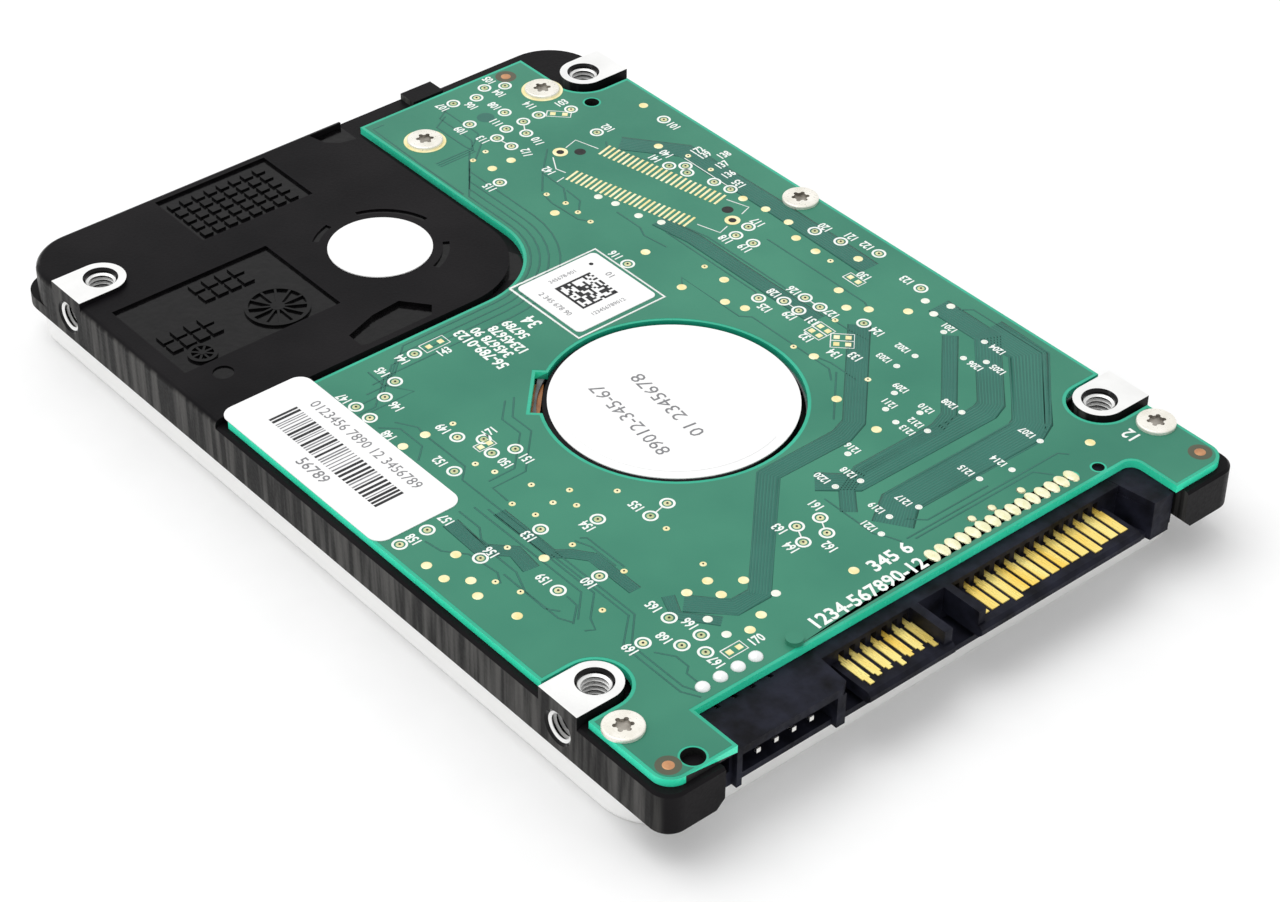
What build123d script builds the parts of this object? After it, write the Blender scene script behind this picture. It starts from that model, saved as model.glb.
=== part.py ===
"""Hard disk drive, 2.5-inch form factor, 9.5 mm high, lying on its cover with the board up.

+X runs along the length towards the connector, +Y across the width and +Z up. The origin
is the centre of the footprint, on the surface that the cover rests on. Sizes are in mm.
"""

import os
from math import acos, cos, degrees, hypot, radians, sin

from build123d import *

os.makedirs("parts", exist_ok=True)

# ---------------------------------------------------------------- driving dimensions
LENGTH = 100.2
WIDTH = 69.85

# Standard mounting pattern, counted from the connector end and the centre line.
HOLE_FRONT = 14.0
HOLE_REAR = 90.6
HOLE_SPACING = 61.72
HOLE_R = 1.5
HOLE_DEPTH = 4.0
HOLE_BEVEL = 0.25
SIDE_HOLE_BELOW = 3.0
SIDE_HOLE_DEPTH = 2.2

# Heights, stacked from the surface upwards.
COVER_WALL = 0.6
GASKET = 0.4
HEAD_SPACE_LOW = 1.3
PLATTER_THICK = 0.8
SPACER_HEIGHT = 2.0
HEAD_SPACE_HIGH = 1.1
FLOOR_THICK = 0.7
PART_SPACE = 1.0
BOARD_THICK = 0.8
PAD_PROUD = 0.4
DECK_BELOW_BOARD = 0.1
DECK_THICK = 1.0
COVER_DEPTH = 4.0

# Casting and cover in plan.
COVER_INSET = 0.9
COVER_SETBACK = 3.3
SKIRT_WALL = 0.5
SKIRT_GAP = 0.1
REAR_CORNER_R = 5.5
FLANGE_CORNER_R = 3.2
FLANGE_HEIGHT = 1.3
FRONT_CORNER_R = 2.0
COVER_FRONT_R = 6.0
EDGE_R = 0.65
LEDGE_BEVEL = 0.25
REAR_WALL = 2.1
EAR_SLOPE = 0.9
BOARD_INSET = 0.8
DECK_GAP = 1.0
CORNER_DROP = 0.7
LEDGE = 3.2
PAD_R = 2.55
PAD_CLEAR = 0.6

# Disks and spindle.
PLATTER_R = 32.5
PLATTER_BORE_R = 10.0
SPINDLE_FROM_END = 40.0
SHROUD_GAP = 0.35
HUB_GAP = 0.03
SHAFT_R = 1.5
BEARING_GAP = 0.02
SLEEVE_WALL = 1.9
MOTOR_R = 12.15
MOTOR_WALL = 0.8
AIR_GAP = 0.3
STATOR_R = 9.65
SLOTS = 9

# Actuator.
PIVOT_BEHIND = 37.9
PIVOT_ASIDE = -6.0
PIVOT_SHAFT_R = 1.5
RACE_WALL = 0.6
BALL_R = 0.45
CARRIAGE_R = 5.2
HEAD_REACH = 33.0
ARM_REACH = 24.0
TAB_REACH = 36.0
INNER_TRACK_R = 14.5
PARK_BEYOND = 1.35
FLY_GAP = 0.07
SLIDER_THICK = 0.3
SPRING_THICK = 0.08
COIL_IN_R = 10.5
COIL_OUT_R = 18.4
COIL_HALF = 15.5
COIL_THICK = 1.8
FRAME_HALF = 18.0
YOKE_IN_R = 9.3
YOKE_OUT_R = 19.2
YOKE_HALF = 48.0
YOKE_THICK = 1.1
MAGNET_THICK = 1.0
MAGNET_HALF = 34.0
STOP_R = 1.5
POST_R = 0.9
POST_REACH = 15.5

# Connector.
PLUG_LOW_BELOW = 5.15
TONGUE_BELOW = 2.35
TONGUE_THICK = 1.23
TONGUE_DEPTH = 4.85
PITCH = 1.27
CONTACT_THICK = 0.1
SLOT_GAP = 0.02
JUMPER_PITCH = 2.0
JUMPER_PIN = 0.5

# Fasteners and labels.
BOARD_SCREW_R = 0.7
BOARD_HEAD_R = 1.9
BOARD_HEAD_HIGH = 0.4
COVER_SCREW_R = 0.9
COVER_HEAD_R = 1.7
CLAMP_SCREW_R = 0.5
THREAD_GAP = 0.01
PAPER = 0.1

# ---------------------------------------------------------------- levels and places
X_END = LENGTH / 2
Y_SIDE = WIDTH / 2
RIM_LOW = COVER_WALL + GASKET
LOW_PLATTER = COVER_WALL + HEAD_SPACE_LOW
HIGH_PLATTER = LOW_PLATTER + PLATTER_THICK + SPACER_HEIGHT
FLOOR_LOW = HIGH_PLATTER + PLATTER_THICK + HEAD_SPACE_HIGH
FLOOR_TOP = FLOOR_LOW + FLOOR_THICK
BOARD_LOW = FLOOR_TOP + PART_SPACE
BOARD_TOP = BOARD_LOW + BOARD_THICK
HEIGHT = BOARD_TOP + PAD_PROUD
DECK_TOP = BOARD_TOP - DECK_BELOW_BOARD
DECK_LOW = DECK_TOP - DECK_THICK
FLANGE_LOW = COVER_DEPTH
CHIP_LOW = FLOOR_TOP + 0.2

SPINDLE = (X_END - SPINDLE_FROM_END, 0.0)
PIVOT = (SPINDLE[0] - PIVOT_BEHIND, PIVOT_ASIDE)
HOLE_XS = (X_END - HOLE_FRONT, X_END - HOLE_REAR)
HOLE_Y = HOLE_SPACING / 2
SIDE_HOLE_Z = HEIGHT - SIDE_HOLE_BELOW
COVER_REAR_X = -X_END + COVER_INSET
COVER_FRONT_X = X_END - COVER_SETBACK
COVER_Y = Y_SIDE - COVER_INSET
TUB_Y = COVER_Y - SKIRT_WALL - SKIRT_GAP
TUB_REAR_X = COVER_REAR_X + SKIRT_WALL + SKIRT_GAP
TUB_FRONT_X = COVER_FRONT_X - SKIRT_WALL - SKIRT_GAP
CAVITY_R = PLATTER_R + SHROUD_GAP
CAVITY_REAR_X = -X_END + REAR_WALL
PLUG_LOW = BOARD_TOP - PLUG_LOW_BELOW
TONGUE_TOP = BOARD_TOP - TONGUE_BELOW
PLUG_BACK_X = X_END - TONGUE_DEPTH - 1.4
PLUG_WALL_X = X_END - TONGUE_DEPTH - 0.05
BOARD_NOTCH_X = X_END - 6.3
SHELF_X = X_END - 9.2
BOARD_SCREWS = [
    (-X_END + 9.3, 25.34),
    (-X_END + 9.47, 9.35),
    (SPINDLE[0] - 17.4, Y_SIDE - 2.43),
    (X_END - 8.4, Y_SIDE - 2.3),
    (X_END - 8.4, -Y_SIDE + 2.5),
]
COVER_SCREWS = [
    (-X_END + 4.6, Y_SIDE - 4.4),
    (-X_END + 4.6, -Y_SIDE + 4.4),
    (-X_END + 26.0, Y_SIDE - 3.9),
    (-X_END + 33.0, -Y_SIDE + 3.9),
    (X_END - 8.4, Y_SIDE - 5.9),
    (X_END - 8.4, -Y_SIDE + 5.9),
]


def polar(reach, angle, centre=PIVOT):
    """The point at a reach and a direction in degrees about a centre, the pivot by default."""
    return (centre[0] + reach * cos(radians(angle)), centre[1] + reach * sin(radians(angle)))


def angle_for(track_r):
    """Angle at the pivot between the spindle and the heads, when they are over a radius."""
    base = hypot(PIVOT_BEHIND, PIVOT_ASIDE)
    return degrees(acos((base**2 + HEAD_REACH**2 - track_r**2) / (2 * base * HEAD_REACH)))


TO_SPINDLE = degrees(acos(PIVOT_BEHIND / hypot(PIVOT_BEHIND, PIVOT_ASIDE)))
PARK = TO_SPINDLE + angle_for(PLATTER_R + PARK_BEYOND)
INNER = TO_SPINDLE + angle_for(INNER_TRACK_R)
SWING = PARK - INNER
COIL_PARK = PARK + 180
MOTOR_MID = COIL_PARK - SWING / 2
POST_HALF = SWING / 2 + FRAME_HALF + degrees((STOP_R + 0.15) / POST_REACH)


def save(piece, name):
    """Labels a finished sub-part and writes its STEP file."""
    piece.part.label = name
    export_step(piece.part, f"parts/{name}.step")


def ring(centre, outer, inner, low, high):
    """A plain ring, or a disc where inner is 0, added to the part being built."""
    with BuildSketch(Plane.XY.offset(low)) as profile:
        with Locations(centre):
            Circle(outer)
            if inner > 0:
                Circle(inner, mode=Mode.SUBTRACT)
    extrude(profile.sketch, amount=high - low)


def block(x_low, x_high, y_low, y_high, z_low, z_high, mode=Mode.ADD):
    """A rectangular block between six limits."""
    with BuildSketch(Plane.XY.offset(z_low)) as profile:
        with Locations(((x_low + x_high) / 2, (y_low + y_high) / 2)):
            Rectangle(x_high - x_low, y_high - y_low)
    extrude(profile.sketch, amount=z_high - z_low, mode=mode)


def outline(points, low, high, mode=Mode.ADD):
    """A straight-sided outline, extruded between two heights."""
    with BuildSketch(Plane.XY.offset(low)) as profile:
        with BuildLine() as edge:
            Polyline(*points, close=True)
        make_face(edge.edges())
    extrude(profile.sketch, amount=high - low, mode=mode)


def sector(centre, inner, outer, start, stop):
    """A fan-shaped face about a centre, added to the sketch being built."""
    middle = (start + stop) / 2
    with BuildLine() as edge:
        ThreePointArc(
            polar(outer, start, centre), polar(outer, middle, centre), polar(outer, stop, centre)
        )
        Line(polar(outer, stop, centre), polar(inner, stop, centre))
        ThreePointArc(
            polar(inner, stop, centre), polar(inner, middle, centre), polar(inner, start, centre)
        )
        Line(polar(inner, start, centre), polar(outer, start, centre))
    make_face(edge.edges())


def drill(points, radius, low, high):
    """Round holes from low to high through the part being built."""
    with BuildSketch(Plane.XY.offset(low)) as profile:
        with Locations(*points):
            Circle(radius)
    extrude(profile.sketch, amount=high - low, mode=Mode.SUBTRACT)


def slanted(corner, away, width, height, low, high, mode=Mode.ADD):
    """A block turned about Z, given its centre, its turn in degrees and its size."""
    with BuildSketch(Plane.XY.offset(low)) as profile:
        with Locations(Location((corner[0], corner[1], 0), (0, 0, away))):
            Rectangle(width, height)
    extrude(profile.sketch, amount=high - low, mode=mode)


# ---------------------------------------------------------------- circuit board outline
BOARD_Y = Y_SIDE - BOARD_INSET
BOARD_FRONT_X = X_END - BOARD_INSET
BOARD_REAR_X = -X_END + 2.93
BOARD_STEP_Y = 5.73
BOARD_STEP_X = PIVOT[0] + 14.25
REAR_PAD_Y = HOLE_Y - PAD_R - 0.85
NOTCH_LOW_Y = -26.5
NOTCH_HIGH_Y = 27.1
NOTCH_CORNER_R = 1.2
MOTOR_CUT_R = MOTOR_R + 0.45
LABEL_AT = (SPINDLE[0], SPINDLE[1] + 0.35)
FLEX_ANGLE = 226.5
STEP_R = 9.0
BUMP_LOW_Y = 13.2
BUMP_HIGH_Y = 17.2


def board_face():
    """The board's outline, without its round holes."""
    with BuildLine() as edge:
        Polyline(
            (BOARD_STEP_X, -BOARD_Y),
            (BOARD_FRONT_X, -BOARD_Y),
            (BOARD_FRONT_X, NOTCH_LOW_Y),
            (BOARD_NOTCH_X, NOTCH_LOW_Y),
            (BOARD_NOTCH_X, NOTCH_HIGH_Y),
            (BOARD_FRONT_X, NOTCH_HIGH_Y),
            (BOARD_FRONT_X, BOARD_Y),
            (HOLE_XS[1] + 1.0, BOARD_Y),
            (HOLE_XS[1] + 1.0, REAR_PAD_Y),
            (BOARD_REAR_X, REAR_PAD_Y),
            (BOARD_REAR_X, BOARD_STEP_Y),
            (BOARD_STEP_X - STEP_R, BOARD_STEP_Y),
        )
        RadiusArc((BOARD_STEP_X - STEP_R, BOARD_STEP_Y), (BOARD_STEP_X, BOARD_STEP_Y - STEP_R), STEP_R)
        Line((BOARD_STEP_X, BOARD_STEP_Y - STEP_R), (BOARD_STEP_X, -BOARD_Y))
    make_face(edge.edges())
    inner = vertices().filter_by(
        lambda corner: abs(corner.X - BOARD_NOTCH_X) < 0.01 and abs(corner.Y - NOTCH_HIGH_Y) < 0.01
    )
    fillet(inner, NOTCH_CORNER_R)
    pads = [(HOLE_XS[0], HOLE_Y), (HOLE_XS[0], -HOLE_Y), (HOLE_XS[1], HOLE_Y)]
    for x, y in pads:
        reach = PAD_R + PAD_CLEAR + (0.45 if x < 0 else 0)
        side = 1 if y > 0 else -1
        with Locations((x, y)):
            Circle(reach, mode=Mode.SUBTRACT)
        with Locations((x, side * (abs(y) + Y_SIDE + 2) / 2)):
            Rectangle(2 * reach, Y_SIDE + 2 - abs(y), mode=Mode.SUBTRACT)


# ---------------------------------------------------------------- base casting
MARK_DEPTH = 0.3


def casting_shell():
    """The stepped outside of the casting: tub, side flange and the rim round the board."""
    with BuildSketch(Plane.XY.offset(FLANGE_LOW)) as profile:
        Rectangle(LENGTH, WIDTH)
    extrude(profile.sketch, amount=DECK_TOP - FLANGE_LOW)
    rear = base.edges().filter_by(Axis.Z).group_by(Axis.X)[0]
    fillet(rear, REAR_CORNER_R)
    front = base.edges().filter_by(Axis.Z).group_by(Axis.X)[-1]
    fillet(front, FRONT_CORNER_R)
    fillet(base.faces().sort_by(Axis.Z)[-1].edges(), EDGE_R)
    with BuildSketch(Plane.XY.offset(FLANGE_LOW)) as profile:
        with Locations((-X_END / 2, 0)):
            Rectangle(X_END, WIDTH)
        fillet(vertices().group_by(Axis.X)[0], FLANGE_CORNER_R)
    extrude(profile.sketch, amount=FLANGE_HEIGHT)
    with BuildSketch(Plane.XY.offset(RIM_LOW)) as profile:
        with Locations(((TUB_REAR_X + TUB_FRONT_X) / 2, 0)):
            Rectangle(TUB_FRONT_X - TUB_REAR_X, 2 * TUB_Y)
        fillet(vertices().group_by(Axis.X)[0], FLANGE_CORNER_R - SKIRT_WALL - SKIRT_GAP)
        fillet(vertices().group_by(Axis.X)[-1], COVER_FRONT_R - SKIRT_WALL - SKIRT_GAP)
    extrude(profile.sketch, amount=FLANGE_LOW - RIM_LOW)


def deck_face(mode):
    """The raised deck's outline in plan, up to and past the rear and lower sides."""
    with BuildLine() as edge:
        corner_x, corner_y = BOARD_STEP_X - DECK_GAP, BOARD_STEP_Y - DECK_GAP
        Polyline(
            (corner_x, corner_y - STEP_R), (corner_x, -Y_SIDE - 1), (-X_END - 1, -Y_SIDE - 1),
            (-X_END - 1, corner_y), (corner_x - STEP_R, corner_y),
        )
        RadiusArc((corner_x - STEP_R, corner_y), (corner_x, corner_y - STEP_R), STEP_R)
    make_face(edge.edges(), mode=mode)


def casting_board_side():
    """The ledge that the board lies on, the pocket for its parts, and the connector gap."""
    with BuildSketch(Plane.XY.offset(BOARD_LOW)) as profile:
        Rectangle(LENGTH + 2, WIDTH + 2)
        deck_face(Mode.SUBTRACT)
    extrude(profile.sketch, amount=HEIGHT - BOARD_LOW, mode=Mode.SUBTRACT)
    block(-X_END - 1, BOARD_REAR_X - 0.15, BUMP_HIGH_Y, Y_SIDE + 1, BOARD_LOW - CORNER_DROP, HEIGHT,
          Mode.SUBTRACT)
    block(-X_END - 1, HOLE_XS[1] + PAD_R, REAR_PAD_Y + 0.15, Y_SIDE + 1, BOARD_LOW - CORNER_DROP,
          HEIGHT, Mode.SUBTRACT)
    part_y = Y_SIDE - LEDGE
    block(BOARD_STEP_X + 1.2, SHELF_X, -part_y, part_y, FLOOR_TOP, BOARD_LOW, Mode.SUBTRACT)
    block(BOARD_REAR_X + 1.7, BOARD_STEP_X + 2, BOARD_STEP_Y + 1.5, REAR_PAD_Y - 1.0,
          FLOOR_TOP, BOARD_LOW, Mode.SUBTRACT)
    block(SHELF_X - 1, X_END + 1, NOTCH_LOW_Y - 1.95, NOTCH_HIGH_Y + 0.85,
          FLOOR_TOP, HEIGHT, Mode.SUBTRACT)
    block(PLUG_BACK_X - SKIRT_GAP, X_END + 1, NOTCH_LOW_Y - 1.95, NOTCH_HIGH_Y + 0.85,
          PLUG_LOW - 0.05, HEIGHT, Mode.SUBTRACT)
    rims = base.edges().filter_by(
        lambda edge: abs(edge.center().Z - BOARD_LOW) < 0.01
        and (abs(abs(edge.center().Y) - Y_SIDE) < 0.05 or abs(edge.center().X - X_END) < 0.05)
    )
    chamfer(rims, LEDGE_BEVEL)


def casting_bosses():
    """Bare mounting pads, board screw bosses and the boss over the ramp screw."""
    pads = [(x, side) for x in HOLE_XS for side in (-1, 1)]
    for x, side in pads:
        with BuildSketch(Plane.XY.offset(FLOOR_LOW)) as profile:
            with Locations((x, side * HOLE_Y)):
                Circle(PAD_R)
            with Locations((x, side * (HOLE_Y + Y_SIDE) / 2)):
                Rectangle(2 * PAD_R, Y_SIDE - HOLE_Y)
        extrude(profile.sketch, amount=HEIGHT - FLOOR_LOW)
    ring(BOARD_SCREWS[0], BOARD_HEAD_R, 0, FLOOR_LOW, BOARD_LOW)
    ring(BOARD_SCREWS[1], BOARD_HEAD_R, 0, FLOOR_LOW, BOARD_LOW)
    ring(RAMP_SCREW_AT, 1.7, 0, FLOOR_LOW, BOARD_LOW)


def casting_cavities():
    """The disk shroud, the actuator bay, the deeper bay under the deck and the filter nest."""
    with BuildSketch(Plane.XY.offset(RIM_LOW)) as profile:
        with Locations(SPINDLE):
            Circle(CAVITY_R)
    extrude(profile.sketch, amount=FLOOR_LOW - RIM_LOW, mode=Mode.SUBTRACT)
    bay_y = HOLE_Y - PAD_R - 0.3
    with BuildSketch(Plane.XY.offset(RIM_LOW)) as profile:
        with Locations(((CAVITY_REAR_X + SPINDLE[0] - 20) / 2, 0)):
            Rectangle(SPINDLE[0] - 20 - CAVITY_REAR_X, 2 * bay_y)
        fillet(vertices().group_by(Axis.X)[0], 3.0)
        with Locations((PIVOT[0] - 1.5, PIVOT[1] - 23.0)):
            Rectangle(13.5, 5.0)
        with Locations((RAMP_SCREW_AT[0] + 1.0, RAMP_SCREW_AT[1] - 1.6)):
            Rectangle(9.5, 7.2)
    extrude(profile.sketch, amount=FLOOR_LOW - RIM_LOW, mode=Mode.SUBTRACT)
    with BuildSketch(Plane.XY.offset(RIM_LOW)) as profile:
        with Locations(((CAVITY_REAR_X + PIVOT[0] + 10.5) / 2, (PIVOT[1] * 2 - 14.7) / 2)):
            Rectangle(PIVOT[0] + 10.5 - CAVITY_REAR_X, 29.2)
        fillet(vertices().group_by(Axis.X)[0], 2.6)
    extrude(profile.sketch, amount=DECK_LOW - RIM_LOW, mode=Mode.SUBTRACT)
    slanted(FILTER_AT, 90 + FILTER_ANGLE, 8.2, 5.0, RIM_LOW, FLOOR_LOW, Mode.SUBTRACT)
    drill([SPINDLE], MOTOR_R, FLOOR_LOW - 1, BOARD_LOW)
    block(HEAD_PLUG[0] - 0.1, HEAD_PLUG[1] + 0.1, HEAD_PLUG[2] - 0.1, HEAD_PLUG[3] + 0.1,
          FLOOR_LOW - 1, BOARD_LOW, Mode.SUBTRACT)


def casting_deck():
    """Foundry marks and small hollows cast into the raised deck."""
    date_x, date_y = -X_END + 5.55, PIVOT[1] - 6.25
    panel_x, panel_y = PIVOT[0] - 1.15, PIVOT[1] - 17.8
    wheels = [((panel_x + 2.8, panel_y + 4.1), 3.3, 12), ((panel_x + 4.6, panel_y - 5.9), 1.5, 8)]
    with BuildSketch(Plane.XY.offset(DECK_TOP - MARK_DEPTH)) as profile:
        with Locations((date_x, date_y)):
            Rectangle(8.8, 13.5)
        with Locations((panel_x, panel_y)):
            Rectangle(12.8, 18.2)
    extrude(profile.sketch, amount=1, mode=Mode.SUBTRACT)
    with BuildSketch(Plane.XY.offset(DECK_TOP - MARK_DEPTH)) as profile:
        with Locations((date_x + 0.2, date_y - 0.3)):
            with GridLocations(1.5, 1.5, 5, 8):
                Rectangle(1.0, 1.05)
        with Locations((panel_x - 3.95, panel_y + 2.05)):
            with GridLocations(1.8, 1.55, 2, 4):
                Rectangle(1.35, 1.2)
        with Locations((panel_x + 1.25, panel_y - 5.1)):
            with GridLocations(1.7, 1.55, 2, 4):
                Rectangle(1.3, 1.2)
    extrude(profile.sketch, amount=MARK_DEPTH - 0.06)
    for centre, reach, spokes in wheels:
        ring(centre, reach, reach - 0.4, DECK_TOP - MARK_DEPTH, DECK_TOP - 0.06)
        ring(centre, reach * 0.22, 0, DECK_TOP - MARK_DEPTH, DECK_TOP - 0.06)
        with BuildSketch(Plane.XY.offset(DECK_TOP - MARK_DEPTH)) as profile:
            with Locations(centre):
                with PolarLocations(reach * 0.56, spokes):
                    Rectangle(reach * 0.76, 0.24)
        extrude(profile.sketch, amount=MARK_DEPTH - 0.08)
    drill([(PIVOT[0] + 7.45, PIVOT[1] - 24.0)], 1.05, DECK_TOP - 0.15, HEIGHT)
    outline([(PIVOT[0] + 10.2, -17.3), (PIVOT[0] + 12.2, -17.3), (PIVOT[0] + 12.5, -16.7),
             (PIVOT[0] + 12.5, -9.0), (PIVOT[0] + 11.2, -8.0), (PIVOT[0] + 8.6, -10.1),
             (PIVOT[0] + 8.9, -13.5)], DECK_TOP - 0.45, HEIGHT, Mode.SUBTRACT)
    hollow_y = BOARD_STEP_Y - DECK_GAP + 0.1
    outline([(-X_END + 0.7, hollow_y - 4.2), (-X_END + 2.8, hollow_y - 3.7),
             (-X_END + 3.9, hollow_y - 2.5), (-X_END + 4.5, hollow_y), (-X_END + 0.7, hollow_y)],
            DECK_TOP - 0.6, HEIGHT, Mode.SUBTRACT)
    with BuildSketch(Plane.XY.offset(DECK_TOP - 0.18)) as profile:
        sector(PIVOT, 6.3, 7.0, 100, 165)
        sector(PIVOT, 6.3, 7.0, 195, 222)
        sector(PIVOT, 6.3, 7.0, 20, 60)
    extrude(profile.sketch, amount=1, mode=Mode.SUBTRACT)
    block(-X_END, BOARD_REAR_X - 0.6, BUMP_LOW_Y, BUMP_HIGH_Y, BOARD_LOW - 0.5, DECK_TOP)


def casting_ears():
    """Slopes the lower inner edges of the two ears beside the connector."""
    for inner, side in ((NOTCH_LOW_Y - 1.95, -1), (NOTCH_HIGH_Y + 0.85, 1)):
        with BuildSketch(Plane.YZ.offset(TUB_FRONT_X + SKIRT_GAP)) as profile:
            with BuildLine() as edge:
                Polyline((inner - side, FLANGE_LOW - 0.01), (inner + side * EAR_SLOPE, FLANGE_LOW - 0.01),
                         (inner - side, FLANGE_LOW + EAR_SLOPE + 1), close=True)
            make_face(edge.edges())
        extrude(profile.sketch, amount=COVER_SETBACK + 1, mode=Mode.SUBTRACT)


def casting_holes():
    """Threaded mounting holes with bevelled mouths, and every blind screw hole."""
    for x in HOLE_XS:
        for side in (-1, 1):
            with BuildSketch(Plane.XY.offset(HEIGHT)) as profile:
                with Locations((x, side * HOLE_Y)):
                    Circle(HOLE_R)
            extrude(profile.sketch, amount=-HOLE_DEPTH, mode=Mode.SUBTRACT)
            with BuildSketch(Plane.XZ.offset(-side * Y_SIDE)) as profile:
                with Locations((x, SIDE_HOLE_Z)):
                    Circle(HOLE_R)
            extrude(profile.sketch, amount=side * SIDE_HOLE_DEPTH, mode=Mode.SUBTRACT)
    drill(BOARD_SCREWS, BOARD_SCREW_R + THREAD_GAP, BOARD_LOW - 1.4, HEIGHT)
    drill(COVER_SCREWS, COVER_SCREW_R + THREAD_GAP, RIM_LOW, FLANGE_LOW)
    drill([RAMP_SCREW_AT], BOARD_SCREW_R + THREAD_GAP, FLOOR_LOW, FLOOR_LOW + 1.1)
    drill([PIVOT], BOARD_SCREW_R + 0.1, DECK_LOW, DECK_TOP)
    drill([PIVOT], BOARD_HEAD_R + 0.1, DECK_TOP - 0.5, DECK_TOP)
    drill([LATCH_AT], LATCH_PIN_R + THREAD_GAP, FLOOR_LOW, FLOOR_LOW + 1.1)
    mouths = base.edges().filter_by(GeomType.CIRCLE).filter_by(
        lambda edge: abs(edge.radius - HOLE_R) < 0.01
        and (abs(edge.center().Z - HEIGHT) < 0.01 or abs(abs(edge.center().Y) - Y_SIDE) < 0.01)
    )
    chamfer(mouths, HOLE_BEVEL)


RAMP_SCREW_AT = polar(39.0, PARK + 4.5)
FILTER_ANGLE = 42.5
FILTER_AT = polar(PLATTER_R + 1.9, FILTER_ANGLE, SPINDLE)
HEAD_PLUG = (PIVOT[0] - 14.7, PIVOT[0] - 10.9, 11.8, 22.9)
LATCH_AT = polar(22.3, COIL_PARK + 23.5)
LATCH_PIN_R = 0.5

with BuildPart() as base:
    casting_shell()
    casting_board_side()
    casting_bosses()
    casting_cavities()
    casting_deck()
    casting_ears()
    casting_holes()
save(base, "base_casting")

# ---------------------------------------------------------------- cover, gasket and screws
LABEL_RECESS = 0.12


def cover_face(inset):
    """The cover's outline, moved inwards."""
    with Locations(((COVER_REAR_X + COVER_FRONT_X) / 2, 0)):
        Rectangle(COVER_FRONT_X - COVER_REAR_X - 2 * inset, 2 * COVER_Y - 2 * inset)
    fillet(vertices().group_by(Axis.X)[0], FLANGE_CORNER_R - inset)
    fillet(vertices().group_by(Axis.X)[-1], COVER_FRONT_R - inset)


with BuildPart() as cover:
    with BuildSketch():
        cover_face(0)
    extrude(amount=FLANGE_LOW - SKIRT_GAP)
    fillet(cover.faces().sort_by(Axis.Z)[0].edges(), EDGE_R)
    with BuildSketch(Plane.XY.offset(COVER_WALL)):
        cover_face(SKIRT_WALL)
    extrude(amount=FLANGE_LOW, mode=Mode.SUBTRACT)
    with BuildSketch():
        with Locations((SPINDLE[0] - 9, 0)):
            RectangleRounded(62, 50, 3)
    extrude(amount=LABEL_RECESS, mode=Mode.SUBTRACT)
    with BuildSketch(Plane.XY.offset(-0.1)):
        with Locations(*COVER_SCREWS):
            Circle(COVER_HEAD_R + 0.1)
    extrude(amount=0.45, mode=Mode.SUBTRACT)
    drill(COVER_SCREWS, COVER_SCREW_R + 0.1, 0, COVER_WALL)
save(cover, "top_cover")

with BuildPart() as gasket:
    with BuildSketch(Plane.XY.offset(COVER_WALL)):
        cover_face(SKIRT_WALL + SKIRT_GAP + 0.1)
    extrude(amount=GASKET)
    with BuildSketch(Plane.XY.offset(COVER_WALL)):
        with Locations(SPINDLE):
            Circle(CAVITY_R - 0.05)
    extrude(amount=GASKET, mode=Mode.SUBTRACT)
    with BuildSketch(Plane.XY.offset(COVER_WALL)):
        with Locations(((CAVITY_REAR_X + SPINDLE[0] - 20) / 2, 0)):
            Rectangle(SPINDLE[0] - 20 - CAVITY_REAR_X + 0.1, 2 * (HOLE_Y - PAD_R - 0.3))
        fillet(vertices().group_by(Axis.X)[0], 3.0)
        with Locations((PIVOT[0] - 1.5, PIVOT[1] - 23.0)):
            Rectangle(13.5, 5.0)
        with Locations((RAMP_SCREW_AT[0] + 1.0, RAMP_SCREW_AT[1] - 1.6)):
            Rectangle(9.5, 7.2)
    extrude(amount=GASKET, mode=Mode.SUBTRACT)
    slanted(FILTER_AT, 90 + FILTER_ANGLE, 8.2, 5.0, COVER_WALL, RIM_LOW, Mode.SUBTRACT)
    drill(COVER_SCREWS, COVER_SCREW_R + 0.2, COVER_WALL, RIM_LOW)
save(gasket, "cover_gasket")


def torx(points, reach, low, high):
    """Six-lobed driver recesses, cut into screw heads."""
    with BuildSketch(Plane.XY.offset(low)) as profile:
        with Locations(*points):
            Circle(0.72 * reach)
            with PolarLocations(0.76 * reach, 6):
                Circle(0.24 * reach)
    extrude(profile.sketch, amount=high - low, mode=Mode.SUBTRACT)


with BuildPart() as cover_screws:
    for at in COVER_SCREWS:
        ring(at, COVER_HEAD_R, 0, 0.02, 0.35)
        ring(at, COVER_SCREW_R, 0, 0.35, FLANGE_LOW - 0.3)
    torx(COVER_SCREWS, 0.85, 0.0, 0.25)
save(cover_screws, "cover_screws")

with BuildPart() as cover_label:
    with BuildSketch(Plane.XY.offset(0.02)):
        with Locations((SPINDLE[0] - 9, 0)):
            RectangleRounded(61.6, 49.6, 2.8)
    extrude(amount=LABEL_RECESS - 0.02)
save(cover_label, "cover_label")

# ---------------------------------------------------------------- circuit board and its parts
POWER_FIRST = 3.05
SIGNAL_FIRST = -10.87
JUMPER_FIRST = -24.1
TAIL_X = X_END - 7.95
power_ys = [POWER_FIRST + PITCH * i for i in range(15)]
signal_ys = [SIGNAL_FIRST + PITCH * i for i in range(7)]
jumper_ys = [JUMPER_FIRST + JUMPER_PITCH * i for i in range(4)]
tails = [(TAIL_X, y) for y in power_ys + jumper_ys]
PEGS = [(X_END - 7.3, -14.25), (X_END - 7.3, 23.59)]

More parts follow.
